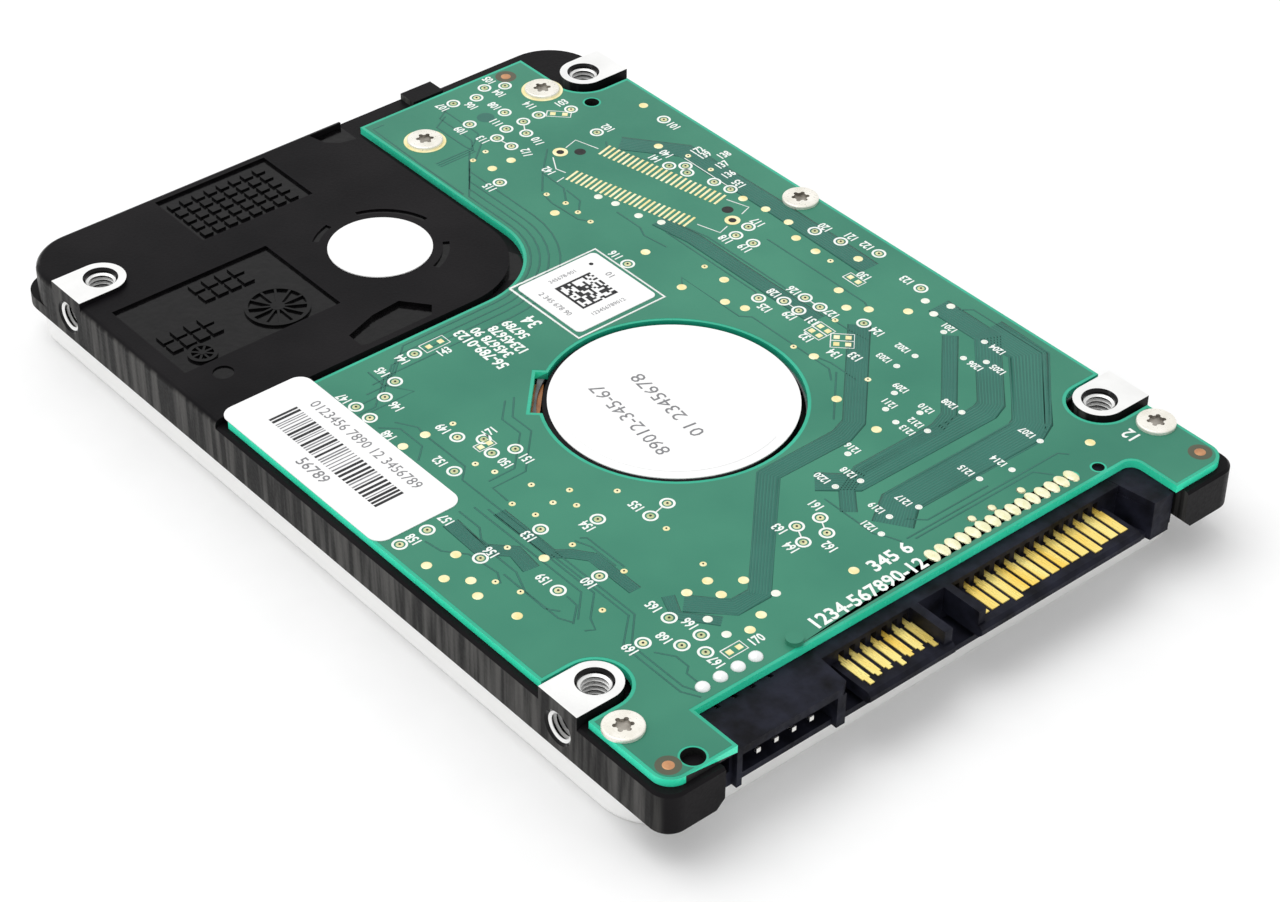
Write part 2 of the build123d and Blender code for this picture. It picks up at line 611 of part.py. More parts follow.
with BuildPart() as board:
    with BuildSketch(Plane.XY.offset(BOARD_LOW)):
        board_face()
        fillet(vertices().group_by(Axis.X)[-1].group_by(Axis.Y)[0], FRONT_CORNER_R)
        fillet(vertices().group_by(Axis.X)[-1].group_by(Axis.Y)[-1], FRONT_CORNER_R)
        with Locations(LABEL_AT):
            Circle(MOTOR_CUT_R, mode=Mode.SUBTRACT)
        at = polar(MOTOR_CUT_R - 0.5, FLEX_ANGLE, LABEL_AT)
        with Locations(Location((at[0], at[1], 0), (0, 0, FLEX_ANGLE))):
            Rectangle(2.6, 6.4, mode=Mode.SUBTRACT)
    extrude(amount=BOARD_THICK)
    drill(BOARD_SCREWS, BOARD_SCREW_R + 0.2, BOARD_LOW, BOARD_TOP)
    drill(tails, 0.34, BOARD_LOW, BOARD_TOP)
    drill(PEGS, 0.6, BOARD_LOW, BOARD_TOP)
    drill([(-X_END + 14.56, 27.97)], 0.8, BOARD_LOW, BOARD_TOP)
    drill([(X_END - 2.15, -Y_SIDE + 4.72)], 1.1, BOARD_LOW, BOARD_TOP)
save(board, "circuit_board")

with BuildPart() as board_screws:
    for at in BOARD_SCREWS:
        ring(at, BOARD_HEAD_R, 0, BOARD_TOP, BOARD_TOP + BOARD_HEAD_HIGH)
        ring(at, BOARD_SCREW_R, 0, BOARD_LOW - 1.3, BOARD_TOP)
    tops = board_screws.edges().filter_by(GeomType.CIRCLE).group_by(Axis.Z)[-1]
    fillet(tops, 0.18)
    torx(BOARD_SCREWS, 0.95, BOARD_TOP + 0.08, HEIGHT)
save(board_screws, "board_screws")

CHIPS = {
    "controller_chip": (22.0, 14.0, 12.0, 12.0),
    "memory_chip": (24.4, -17.5, 10.0, 6.0),
    "motor_driver_chip": (-3.5, 20.5, 8.0, 8.0),
}
chip_boxes = {name: (SPINDLE[0] + x, y, w, d) for name, (x, y, w, d) in CHIPS.items()}
MOTOR_PLUG_AT = polar(18.2, FLEX_ANGLE, SPINDLE)
capacitor_spots = [(SPINDLE[0] + 8 + 2.2 * i, -24.5 + 1.2 * (i % 2)) for i in range(8)]

with BuildPart() as insulator:
    with BuildSketch(Plane.XY.offset(BOARD_LOW - 0.2)):
        with Locations(((BOARD_STEP_X + 1.5 + SHELF_X - 1.3) / 2, 0)):
            Rectangle(SHELF_X - 1.3 - BOARD_STEP_X - 1.5, 2 * (Y_SIDE - LEDGE - 0.3))
        for x in (HOLE_XS[0],):
            for side in (-1, 1):
                with Locations((x, side * (HOLE_Y - PAD_R - 0.6 + Y_SIDE) / 2)):
                    Rectangle(2 * PAD_R + 0.6, Y_SIDE - HOLE_Y + PAD_R + 0.6, mode=Mode.SUBTRACT)
        with Locations(RAMP_SCREW_AT):
            Circle(2.0, mode=Mode.SUBTRACT)
        with Locations(SPINDLE):
            Circle(MOTOR_R + 0.6, mode=Mode.SUBTRACT)
        for x, y, w, d in chip_boxes.values():
            with Locations((x, y)):
                Rectangle(w + 1, d + 1, mode=Mode.SUBTRACT)
        with Locations(Location((MOTOR_PLUG_AT[0], MOTOR_PLUG_AT[1], 0), (0, 0, FLEX_ANGLE))):
            Rectangle(10.5, 7.4, mode=Mode.SUBTRACT)
        with Locations((SPINDLE[0] + 15.7, -23.9)):
            Rectangle(18.5, 4.2, mode=Mode.SUBTRACT)
    extrude(amount=0.2)
save(insulator, "board_insulator")

for name, (x, y, w, d) in chip_boxes.items():
    with BuildPart() as chip:
        block(x - w / 2, x + w / 2, y - d / 2, y + d / 2, CHIP_LOW, BOARD_LOW)
        chamfer(chip.faces().sort_by(Axis.Z)[0].edges(), 0.12)
    save(chip, name)

with BuildPart() as capacitors:
    for x, y in capacitor_spots:
        block(x - 0.5, x + 0.5, y - 0.25, y + 0.25, BOARD_LOW - 0.5, BOARD_LOW)
save(capacitors, "board_capacitors")

with BuildPart() as head_plug:
    block(HEAD_PLUG[0], HEAD_PLUG[1], HEAD_PLUG[2], HEAD_PLUG[3], FLOOR_LOW - 0.6, BOARD_LOW)
    with BuildSketch(Plane.XY.offset(BOARD_LOW)):
        with Locations(((HEAD_PLUG[0] + HEAD_PLUG[1]) / 2, (HEAD_PLUG[2] + HEAD_PLUG[3]) / 2)):
            with GridLocations(1.8, 0.9, 2, 11):
                Rectangle(1.2, 0.4)
    extrude(amount=-0.15, mode=Mode.SUBTRACT)
save(head_plug, "head_connector")

# ---------------------------------------------------------------- plug housing and contacts
SIGNAL_LOW_Y, SIGNAL_HIGH_Y = SIGNAL_FIRST - 1.1, SIGNAL_FIRST + 9.1
POWER_LOW_Y, POWER_HIGH_Y = POWER_FIRST - 1.6, POWER_FIRST + 18.9
HOUSING_LOW_Y, HOUSING_HIGH_Y = NOTCH_LOW_Y - 1.85, NOTCH_HIGH_Y + 0.75
ROOF_X = BOARD_NOTCH_X + 0.15
ROOF_FRONT = X_END - 1.0
ROOF_TOP = BOARD_LOW - 0.02
ROOF_LOW = BOARD_LOW - 0.9
TONGUE_LOW = TONGUE_TOP - TONGUE_THICK
JUMPER_END_Y = -13.9
GUIDE_LOW_Y = 24.05
JUMPER_Z = BOARD_LOW - 1.2
LEG_TOP = TONGUE_TOP + 1.5
PIN_TAIL_Z = FLOOR_TOP + 0.1 + JUMPER_PIN / 2
RISER_X = PLUG_BACK_X + 0.4


def contact(y, width, tip_x, root_width):
    """One bent contact: blade on the tongue, riser in the wall and tail to the board."""
    half = width / 2
    root = root_width / 2
    block(X_END - 4.5, tip_x, y - half, y + half, TONGUE_TOP, TONGUE_TOP + CONTACT_THICK)
    block(PLUG_BACK_X + 0.5, X_END - 4.5, y - root, y + root, TONGUE_TOP,
          TONGUE_TOP + CONTACT_THICK)
    block(PLUG_BACK_X + 0.5, PLUG_BACK_X + 0.7, y - root, y + root, TONGUE_TOP, FLOOR_TOP + 0.45)
    block(TAIL_X - 0.1, PLUG_BACK_X + 0.7, y - root, y + root, FLOOR_TOP + 0.35,
          FLOOR_TOP + 0.45)


with BuildPart() as housing:
    block(PLUG_BACK_X, PLUG_WALL_X, HOUSING_LOW_Y, HOUSING_HIGH_Y, PLUG_LOW, BOARD_LOW - 0.05)
    block(SHELF_X + 0.2, PLUG_BACK_X, JUMPER_FIRST - 1.5, GUIDE_LOW_Y + 1.5, FLOOR_TOP + 0.1,
          BOARD_LOW - 0.05)
    block(PLUG_WALL_X, X_END - 1.5, JUMPER_END_Y - 0.6, GUIDE_LOW_Y + 1.0, PLUG_LOW,
          PLUG_LOW + 0.65)
    for low_y, high_y in ((SIGNAL_LOW_Y, SIGNAL_HIGH_Y), (POWER_LOW_Y, POWER_HIGH_Y)):
        block(PLUG_WALL_X, X_END, low_y, high_y, TONGUE_LOW, TONGUE_TOP)
    noses = housing.edges().filter_by(Axis.Y).group_by(Axis.X)[-1]
    chamfer(noses, 0.35)
    block(PLUG_WALL_X, X_END - 0.55, SIGNAL_HIGH_Y - 0.95, SIGNAL_HIGH_Y, TONGUE_TOP, LEG_TOP)
    block(PLUG_WALL_X, X_END - 0.55, POWER_LOW_Y, POWER_LOW_Y + 0.85, TONGUE_TOP, LEG_TOP)
    roof = [(ROOF_X, NOTCH_LOW_Y + 0.2), (ROOF_FRONT, NOTCH_LOW_Y + 0.2),
            (ROOF_FRONT, JUMPER_END_Y - 0.4), (ROOF_FRONT - 0.5, JUMPER_END_Y + 0.35),
            (ROOF_X + 0.8, JUMPER_END_Y + 0.65), (ROOF_X, JUMPER_END_Y + 0.95)]
    outline(roof, ROOF_LOW, ROOF_TOP)
    block(PLUG_WALL_X, ROOF_FRONT, NOTCH_LOW_Y + 0.2, NOTCH_LOW_Y + 0.8, PLUG_LOW, ROOF_TOP)
    block(PLUG_WALL_X, ROOF_FRONT, JUMPER_END_Y - 1.0, JUMPER_END_Y, PLUG_LOW, ROOF_LOW)
    block(PLUG_WALL_X, ROOF_FRONT - 0.6, NOTCH_LOW_Y + 0.2, JUMPER_END_Y, PLUG_LOW,
          PLUG_LOW + 0.65)
    guide = [(ROOF_X, GUIDE_LOW_Y - 0.35), (ROOF_FRONT, GUIDE_LOW_Y + 0.45),
             (ROOF_FRONT, NOTCH_HIGH_Y - 0.2), (ROOF_X, NOTCH_HIGH_Y - 0.2)]
    outline(guide, ROOF_LOW, ROOF_TOP)
    outline([(PLUG_WALL_X, GUIDE_LOW_Y - 0.3), *guide[1:3], (PLUG_WALL_X, NOTCH_HIGH_Y - 0.2)],
            PLUG_LOW, ROOF_LOW)
    for low_y, high_y in ((HOUSING_LOW_Y, NOTCH_LOW_Y + 0.25), (NOTCH_HIGH_Y - 0.25, HOUSING_HIGH_Y)):
        block(PLUG_WALL_X, X_END - 1.6, low_y, high_y, PLUG_LOW, BOARD_LOW - 0.05)
        block(PLUG_WALL_X + 2, X_END, low_y + 0.4, high_y - 0.4, PLUG_LOW + 1.6, BOARD_LOW - 0.9,
              Mode.SUBTRACT)
    for x, y in PEGS:
        ring((x, y), 0.55, 0, BOARD_LOW - 0.1, BOARD_LOW + 0.5)
    for y in signal_ys:
        block(PLUG_BACK_X - 3, PLUG_WALL_X, y - 0.32, y + 0.32, TONGUE_TOP - SLOT_GAP,
              FLOOR_TOP + 0.45 + SLOT_GAP, Mode.SUBTRACT)
    for y in power_ys:
        block(TAIL_X - 0.3, PLUG_WALL_X, y - 0.32, y + 0.32, TONGUE_TOP - SLOT_GAP,
              FLOOR_TOP + 0.45 + SLOT_GAP, Mode.SUBTRACT)
        block(TAIL_X - 0.35, TAIL_X + 0.35, y - 0.32, y + 0.32, FLOOR_TOP, BOARD_LOW,
              Mode.SUBTRACT)
    for y in jumper_ys:
        half = JUMPER_PIN / 2
        block(RISER_X - SLOT_GAP, PLUG_WALL_X, y - half, y + half, JUMPER_Z - half,
              PIN_TAIL_Z + half, Mode.SUBTRACT)
        block(TAIL_X - half - 0.1, RISER_X, y - half, y + half, PIN_TAIL_Z - half, BOARD_LOW,
              Mode.SUBTRACT)
save(housing, "plug_housing")

with BuildPart() as signal_contacts:
    for index, y in enumerate(signal_ys):
        contact(y, 0.86, X_END - 1.75, 0.5)
        tip = X_END - (0.95 if index in (0, 3, 6) else 1.35)
        block(X_END - 1.75, tip, y - 0.25, y + 0.25, TONGUE_TOP, TONGUE_TOP + CONTACT_THICK)
save(signal_contacts, "signal_contacts")

with BuildPart() as power_contacts:
    for index, y in enumerate(power_ys):
        tip = X_END - (0.75 if index in (3, 11) else 1.2)
        contact(y, 0.92, tip, 0.6)
        block(TAIL_X - 0.1, TAIL_X + 0.1, y - 0.2, y + 0.2, FLOOR_TOP + 0.35, BOARD_TOP + 0.1)
save(power_contacts, "power_contacts")

with BuildPart() as jumper_pins:
    half = JUMPER_PIN / 2 - SLOT_GAP
    for y in jumper_ys:
        block(RISER_X, X_END - 0.8, y - half, y + half, JUMPER_Z - half, JUMPER_Z + half)
        block(RISER_X, RISER_X + 2 * half, y - half, y + half, JUMPER_Z - half, PIN_TAIL_Z + half)
        block(TAIL_X - half, RISER_X + half, y - half, y + half, PIN_TAIL_Z - half,
              PIN_TAIL_Z + half)
        ring((TAIL_X, y), 0.2, 0, PIN_TAIL_Z, BOARD_TOP + 0.1)
save(jumper_pins, "jumper_pins")

# ---------------------------------------------------------------- labels
with BuildPart() as motor_label:
    ring(LABEL_AT, MOTOR_R - 0.15, 0, BOARD_TOP - 0.2, BOARD_TOP - 0.2 + PAPER)
save(motor_label, "motor_label")

with BuildPart() as seal:
    ring(PIVOT, 5.3, 0, DECK_TOP, DECK_TOP + PAPER)
save(seal, "pivot_seal_label")

with BuildPart() as barcode_label:
    with BuildSketch(Plane.XY.offset(BOARD_TOP)):
        with Locations((SPINDLE[0] - 12.8, -Y_SIDE + 5.67)):
            RectangleRounded(25.0, 9.7, 1.4)
    extrude(amount=PAPER)
save(barcode_label, "barcode_label")

with BuildPart() as code_label:
    with BuildSketch(Plane.XY.offset(BOARD_TOP)):
        with Locations((BOARD_STEP_X + 5.05, 4.97)):
            RectangleRounded(9.8, 10.0, 0.6)
    extrude(amount=PAPER)
save(code_label, "code_label")

# ---------------------------------------------------------------- spindle motor
RING_TOP = BOARD_TOP - 1.1
HUB_LOW = LOW_PLATTER - 0.35
HUB_PLATE = HUB_LOW + 0.65
FLANGE_TOP = HIGH_PLATTER + PLATTER_THICK + 0.7
HUB_R = PLATTER_BORE_R - HUB_GAP
MAGNET_R = STATOR_R + AIR_GAP + 0.7
SLEEVE_R = SHAFT_R + BEARING_GAP + SLEEVE_WALL

with BuildPart() as bracket:
    ring(SPINDLE, MOTOR_R, 0, RING_TOP, BOARD_TOP - 0.2)
    ring(SPINDLE, MOTOR_R, MOTOR_R - MOTOR_WALL, FLOOR_LOW, RING_TOP)
    ring(SPINDLE, SLEEVE_R + 0.9, SLEEVE_R + THREAD_GAP, FLOOR_LOW - 1.6, RING_TOP)
save(bracket, "motor_bracket")

with BuildPart() as sleeve:
    ring(SPINDLE, SLEEVE_R, SHAFT_R + BEARING_GAP, HUB_PLATE + 0.4, RING_TOP - 0.3)
    ring(SPINDLE, SLEEVE_R, 0, RING_TOP - 0.3, RING_TOP)
save(sleeve, "bearing_sleeve")

CORE_LOW = FLANGE_TOP + 0.25
CORE_TOP = CORE_LOW + 0.9
with BuildPart() as stator:
    with BuildSketch(Plane.XY.offset(CORE_LOW)):
        with Locations(SPINDLE):
            Circle(SLEEVE_R + 2.0)
            with PolarLocations(SLEEVE_R + 3.6, SLOTS):
                Rectangle(4.0, 1.1)
        for index in range(SLOTS):
            middle = 360 / SLOTS * index
            sector(SPINDLE, STATOR_R - 0.7, STATOR_R, middle - 16, middle + 16)
        with Locations(SPINDLE):
            Circle(SLEEVE_R + 0.9 + THREAD_GAP, mode=Mode.SUBTRACT)
    extrude(amount=CORE_TOP - CORE_LOW)
save(stator, "stator_core")

with BuildPart() as coils:
    for index in range(SLOTS):
        middle = polar(SLEEVE_R + 3.55, 360 / SLOTS * index, SPINDLE)
        slanted(middle, 360 / SLOTS * index, 2.2, 1.9, CORE_LOW - 0.32, CORE_TOP + 0.32)
        slanted(middle, 360 / SLOTS * index, 4.2, 1.1 + 2 * THREAD_GAP, CORE_LOW - THREAD_GAP,
                CORE_TOP + THREAD_GAP, Mode.SUBTRACT)
save(coils, "stator_coils")

with BuildPart() as motor_flex:
    slanted(polar(MOTOR_R + 2.5, FLEX_ANGLE, SPINDLE), FLEX_ANGLE, 4.7, 5.8,
            BOARD_LOW - 0.35, BOARD_LOW - 0.25)
save(motor_flex, "motor_flex")

with BuildPart() as motor_plug:
    slanted(MOTOR_PLUG_AT, FLEX_ANGLE, 2.2, 6.2, CHIP_LOW, BOARD_LOW)
save(motor_plug, "motor_connector")

with BuildPart() as hub:
    ring(SPINDLE, HUB_R, SHAFT_R, HUB_LOW, HUB_PLATE)
    ring(SPINDLE, HUB_R, HUB_R - 0.8, HUB_PLATE, FLANGE_TOP)
    ring(SPINDLE, PLATTER_BORE_R + 2.0, HUB_R - 0.4, HIGH_PLATTER + PLATTER_THICK, FLANGE_TOP)
    ring(SPINDLE, MAGNET_R + 0.4, MAGNET_R, FLANGE_TOP, RING_TOP - 0.2)
    with BuildSketch(Plane.XY.offset(HUB_LOW)):
        with Locations(SPINDLE):
            with PolarLocations(6.2, 6):
                Circle(CLAMP_SCREW_R + THREAD_GAP)
    extrude(amount=HUB_PLATE - HUB_LOW, mode=Mode.SUBTRACT)
save(hub, "spindle_hub")

with BuildPart() as magnet_ring:
    ring(SPINDLE, MAGNET_R, STATOR_R + AIR_GAP, FLANGE_TOP, RING_TOP - 0.35)
save(magnet_ring, "magnet_ring")

with BuildPart() as spindle_shaft:
    ring(SPINDLE, SHAFT_R, 0, HUB_LOW, RING_TOP - 0.4)
save(spindle_shaft, "spindle_shaft")

for name, low in (("lower_platter", LOW_PLATTER), ("upper_platter", HIGH_PLATTER)):
    with BuildPart() as platter:
        ring(SPINDLE, PLATTER_R, PLATTER_BORE_R, low, low + PLATTER_THICK)
        rims = platter.edges().filter_by(GeomType.CIRCLE).filter_by(
            lambda edge: abs(edge.radius - PLATTER_R) < 0.01
        )
        chamfer(rims, 0.1)
    save(platter, name)

with BuildPart() as spacer:
    ring(SPINDLE, PLATTER_BORE_R + 1.6, PLATTER_BORE_R, LOW_PLATTER + PLATTER_THICK, HIGH_PLATTER)
save(spacer, "spacer_ring")

with BuildPart() as clamp:
    ring(SPINDLE, PLATTER_BORE_R + 1.3, 0, HUB_LOW - 0.4, HUB_LOW)
    ring(SPINDLE, PLATTER_BORE_R + 1.3, PLATTER_BORE_R + 0.4, HUB_LOW, LOW_PLATTER)
    with BuildSketch(Plane.XY.offset(HUB_LOW - 0.4)):
        with Locations(SPINDLE):
            with PolarLocations(6.2, 6):
                Circle(CLAMP_SCREW_R + 0.1)
    extrude(amount=0.4, mode=Mode.SUBTRACT)
save(clamp, "disk_clamp")

with BuildPart() as clamp_screws:
    spots = [polar(6.2, 60 * index, SPINDLE) for index in range(6)]
    for at in spots:
        ring(at, 1.05, 0, HUB_LOW - 0.7, HUB_LOW - 0.4)
        ring(at, CLAMP_SCREW_R, 0, HUB_LOW - 0.4, HUB_PLATE)
    torx(spots, 0.55, HUB_LOW - 0.7, HUB_LOW - 0.5)
save(clamp_screws, "clamp_screws")

# ---------------------------------------------------------------- actuator
SPRING_LEVELS = [
    LOW_PLATTER - FLY_GAP - SLIDER_THICK - SPRING_THICK,
    LOW_PLATTER + PLATTER_THICK + FLY_GAP + SLIDER_THICK,
    HIGH_PLATTER - FLY_GAP - SLIDER_THICK - SPRING_THICK,
    HIGH_PLATTER + PLATTER_THICK + FLY_GAP + SLIDER_THICK,
]
ARM_LEVELS = [
    (SPRING_LEVELS[0] - 0.5, SPRING_LEVELS[0]),
    (SPRING_LEVELS[1] + SPRING_THICK, SPRING_LEVELS[2]),
    (SPRING_LEVELS[3] + SPRING_THICK, SPRING_LEVELS[3] + SPRING_THICK + 0.45),
]
CARRIAGE_LOW, CARRIAGE_TOP = ARM_LEVELS[0][0], ARM_LEVELS[2][1]
RACE_IN_R = PIVOT_SHAFT_R + RACE_WALL
BALL_AT_R = RACE_IN_R + BALL_R + 0.05
RACE_OUT_R = BALL_AT_R + BALL_R + 0.05
PIVOT_SLEEVE_R = RACE_OUT_R + 0.5
CARTRIDGE_R = PIVOT_SLEEVE_R + 0.45
COIL_MID = (ARM_LEVELS[1][0] + ARM_LEVELS[1][1]) / 2 + 0.6
BEARINGS = (CARRIAGE_LOW + 0.3, CARRIAGE_TOP - 1.3)
BEARING_HIGH = 1.2


def beam(near, far, near_width, far_width, low, high, mode=Mode.ADD):
    """A tapered bar that points along the parked arm."""
    points = []
    for reach, half in ((near, near_width / 2), (far, far_width / 2)):
        middle = polar(reach, PARK)
        points.append(polar(half, PARK - 90, middle))
        points.append(polar(half, PARK + 90, middle))
    outline([points[0], points[2], points[3], points[1]], low, high, mode)


with BuildPart() as carriage:
    ring(PIVOT, CARRIAGE_R, CARTRIDGE_R, CARRIAGE_LOW, CARRIAGE_TOP)
    for low, high in ARM_LEVELS:
        beam(CARTRIDGE_R + 0.6, ARM_REACH, 8.0, 4.4, low, high)
        beam(9.0, 15.0, 3.4, 2.6, low, high, Mode.SUBTRACT)
        drill([polar(ARM_REACH - 1.9, PARK)], 1.0, low, high)
save(carriage, "arm_carriage")

with BuildPart() as pivot_sleeve:
    ring(PIVOT, CARTRIDGE_R, PIVOT_SLEEVE_R, CARRIAGE_LOW, CARRIAGE_TOP)
save(pivot_sleeve, "pivot_sleeve")

with BuildPart() as outer_races:
    for low in BEARINGS:
        ring(PIVOT, PIVOT_SLEEVE_R, RACE_OUT_R, low, low + BEARING_HIGH)
save(outer_races, "pivot_outer_races")

with BuildPart() as inner_races:
    for low in BEARINGS:
        ring(PIVOT, RACE_IN_R, PIVOT_SHAFT_R, low, low + BEARING_HIGH)
save(inner_races, "pivot_inner_races")

with BuildPart() as balls:
    for low in BEARINGS:
        for index in range(9):
            x, y = polar(BALL_AT_R, 40 * index)
            with Locations((x, y, low + BEARING_HIGH / 2)):
                Sphere(BALL_R)
save(balls, "pivot_balls")

with BuildPart() as pivot_shaft:
    ring(PIVOT, PIVOT_SHAFT_R, 0, COVER_WALL + 0.1, DECK_LOW)
    ring(PIVOT, PIVOT_SHAFT_R + 0.9, 0, CARRIAGE_TOP + 0.3, DECK_LOW)
    drill([PIVOT], BOARD_SCREW_R + THREAD_GAP, DECK_LOW - 2.0, DECK_LOW)
save(pivot_shaft, "pivot_shaft")

with BuildPart() as pivot_screw:
    ring(PIVOT, BOARD_HEAD_R, 0, DECK_TOP - 0.5, DECK_TOP - 0.05)
    ring(PIVOT, BOARD_SCREW_R, 0, DECK_LOW - 1.9, DECK_TOP - 0.5)
    torx([PIVOT], 0.95, DECK_TOP - 0.3, DECK_TOP)
save(pivot_screw, "pivot_screw")

with BuildPart() as springs:
    for index, low in enumerate(SPRING_LEVELS):
        high = low + SPRING_THICK
        beam(ARM_REACH - 4.6, ARM_REACH + 0.6, 4.2, 3.8, low, high)
        beam(ARM_REACH + 0.6, HEAD_REACH, 3.6, 1.3, low, high)
        beam(HEAD_REACH - 0.1, TAB_REACH, 1.3, 0.5, low, high)
        beam(ARM_REACH + 2.4, HEAD_REACH - 2.4, 1.4, 0.5, low, high, Mode.SUBTRACT)
save(springs, "suspensions")

with BuildPart() as sliders:
    for index, level in enumerate(SPRING_LEVELS):
        low = level + SPRING_THICK if index % 2 == 0 else level - SLIDER_THICK
        slanted(polar(HEAD_REACH, PARK), PARK, 1.25, 0.85, low, low + SLIDER_THICK)
save(sliders, "head_sliders")

with BuildPart() as coil_frame:
    with BuildSketch(Plane.XY.offset(COIL_MID - COIL_THICK / 2 + 0.1)):
        sector(PIVOT, CARRIAGE_R, COIL_OUT_R + 0.5, COIL_PARK - FRAME_HALF, COIL_PARK + FRAME_HALF)
        sector(PIVOT, COIL_OUT_R + 0.4, COIL_OUT_R + 1.35, COIL_PARK + 14, COIL_PARK + FRAME_HALF)
    extrude(amount=COIL_THICK - 0.2)
    with BuildSketch(Plane.XY.offset(COIL_MID - COIL_THICK)):
        sector(PIVOT, COIL_IN_R - THREAD_GAP, COIL_OUT_R + THREAD_GAP,
               COIL_PARK - COIL_HALF - 0.1, COIL_PARK + COIL_HALF + 0.1)
        sector(PIVOT, CARRIAGE_R + 1.2, COIL_IN_R - 1.0, COIL_PARK - 9, COIL_PARK + 9)
    extrude(amount=2 * COIL_THICK, mode=Mode.SUBTRACT)
save(coil_frame, "coil_frame")

with BuildPart() as voice_coil:
    with BuildSketch(Plane.XY.offset(COIL_MID - COIL_THICK / 2)):
        sector(PIVOT, COIL_IN_R, COIL_OUT_R, COIL_PARK - COIL_HALF, COIL_PARK + COIL_HALF)
        fillet(vertices(), 1.2)
    extrude(amount=COIL_THICK)
    with BuildSketch(Plane.XY.offset(COIL_MID - COIL_THICK)):
        sector(PIVOT, COIL_IN_R + 2.4, COIL_OUT_R - 2.4, COIL_PARK - 6.5, COIL_PARK + 6.5)
    extrude(amount=2 * COIL_THICK, mode=Mode.SUBTRACT)
save(voice_coil, "voice_coil")

with BuildPart() as preamp:
    slanted(polar(CARRIAGE_R + 0.7, PARK + 100), PARK + 100, 0.6, 2.4, CARRIAGE_LOW + 1.5,
            CARRIAGE_TOP - 1.5)
    slanted(polar(CARRIAGE_R + 0.2, PARK + 100), PARK + 100, 0.9, 3.4, CARRIAGE_LOW + 1.0,
            CARRIAGE_TOP - 1.0)
    ring(PIVOT, CARRIAGE_R, 0, CARRIAGE_LOW, CARRIAGE_TOP)
    with BuildSketch(Plane.XY.offset(CARRIAGE_LOW)):
        with Locations(PIVOT):
            Circle(CARRIAGE_R + THREAD_GAP)
    extrude(amount=CARRIAGE_TOP - CARRIAGE_LOW, mode=Mode.SUBTRACT)
save(preamp, "preamplifier")

# ---------------------------------------------------------------- voice coil motor
LOW_YOKE = COVER_WALL + 0.2
LOW_MAGNET = LOW_YOKE + YOKE_THICK
HIGH_YOKE = DECK_LOW - 0.1 - YOKE_THICK
HIGH_MAGNET = HIGH_YOKE - MAGNET_THICK
POST_SPOTS = [polar(POST_REACH, MOTOR_MID + side * POST_HALF) for side in (-1, 1)]

for name, low in (("lower_yoke", LOW_YOKE), ("upper_yoke", HIGH_YOKE)):
    with BuildPart() as yoke:
        with BuildSketch(Plane.XY.offset(low)):
            sector(PIVOT, YOKE_IN_R, YOKE_OUT_R, MOTOR_MID - YOKE_HALF, MOTOR_MID + YOKE_HALF)
            fillet(vertices(), 0.8)
        extrude(amount=YOKE_THICK)
        drill(POST_SPOTS, POST_R - 0.2, low, low + YOKE_THICK)
    save(yoke, name)

with BuildPart() as magnets:
    for low in (LOW_MAGNET, HIGH_MAGNET):
        with BuildSketch(Plane.XY.offset(low)):
            sector(PIVOT, YOKE_IN_R + 0.7, YOKE_OUT_R - 0.5, MOTOR_MID - MAGNET_HALF,
                   MOTOR_MID + MAGNET_HALF)
            fillet(vertices(), 0.5)
        extrude(amount=MAGNET_THICK)
save(magnets, "yoke_magnets")

with BuildPart() as posts:
    for at in POST_SPOTS:
        ring(at, POST_R, 0, LOW_MAGNET, HIGH_YOKE)
        ring(at, POST_R - 0.2 - THREAD_GAP, 0, LOW_YOKE, DECK_LOW - 0.1)
save(posts, "yoke_posts")

with BuildPart() as stops:
    for at in POST_SPOTS:
        ring(at, STOP_R, POST_R + THREAD_GAP, LOW_MAGNET + 0.4, HIGH_YOKE - 0.4)
save(stops, "crash_stops")

# ---------------------------------------------------------------- latch, ramp, flex, filters
LATCH_LOW = COIL_MID - COIL_THICK / 2 + 0.1
LATCH_TOP = COIL_MID + COIL_THICK / 2 - 0.1
HOOK_AT = polar(20.85, COIL_PARK + 12.2)

with BuildPart() as latch_pin:
    ring(LATCH_AT, LATCH_PIN_R, 0, COVER_WALL + 0.5, FLOOR_LOW + 1.0)
    ring(LATCH_AT, LATCH_PIN_R + 0.5, 0, COVER_WALL + 0.5, LATCH_LOW - 0.1)
    ring(LATCH_AT, LATCH_PIN_R + 0.5, 0, LATCH_TOP + 0.1, FLOOR_LOW)
save(latch_pin, "latch_pin")

with BuildPart() as latch:
    reach = hypot(HOOK_AT[0] - LATCH_AT[0], HOOK_AT[1] - LATCH_AT[1])
    turn = degrees(acos((HOOK_AT[0] - LATCH_AT[0]) / reach))
    middle = ((HOOK_AT[0] + LATCH_AT[0]) / 2, (HOOK_AT[1] + LATCH_AT[1]) / 2)
    ring(LATCH_AT, 1.35, 0, LATCH_LOW, LATCH_TOP)
    slanted(middle, turn, reach + 0.5, 0.9, LATCH_LOW, LATCH_TOP)
    slanted(polar(2.6, turn + 180, LATCH_AT), turn, 3.0, 2.0, LATCH_LOW, LATCH_TOP)
    drill([LATCH_AT], LATCH_PIN_R + 0.05, LATCH_LOW, LATCH_TOP)
save(latch, "inertial_latch")

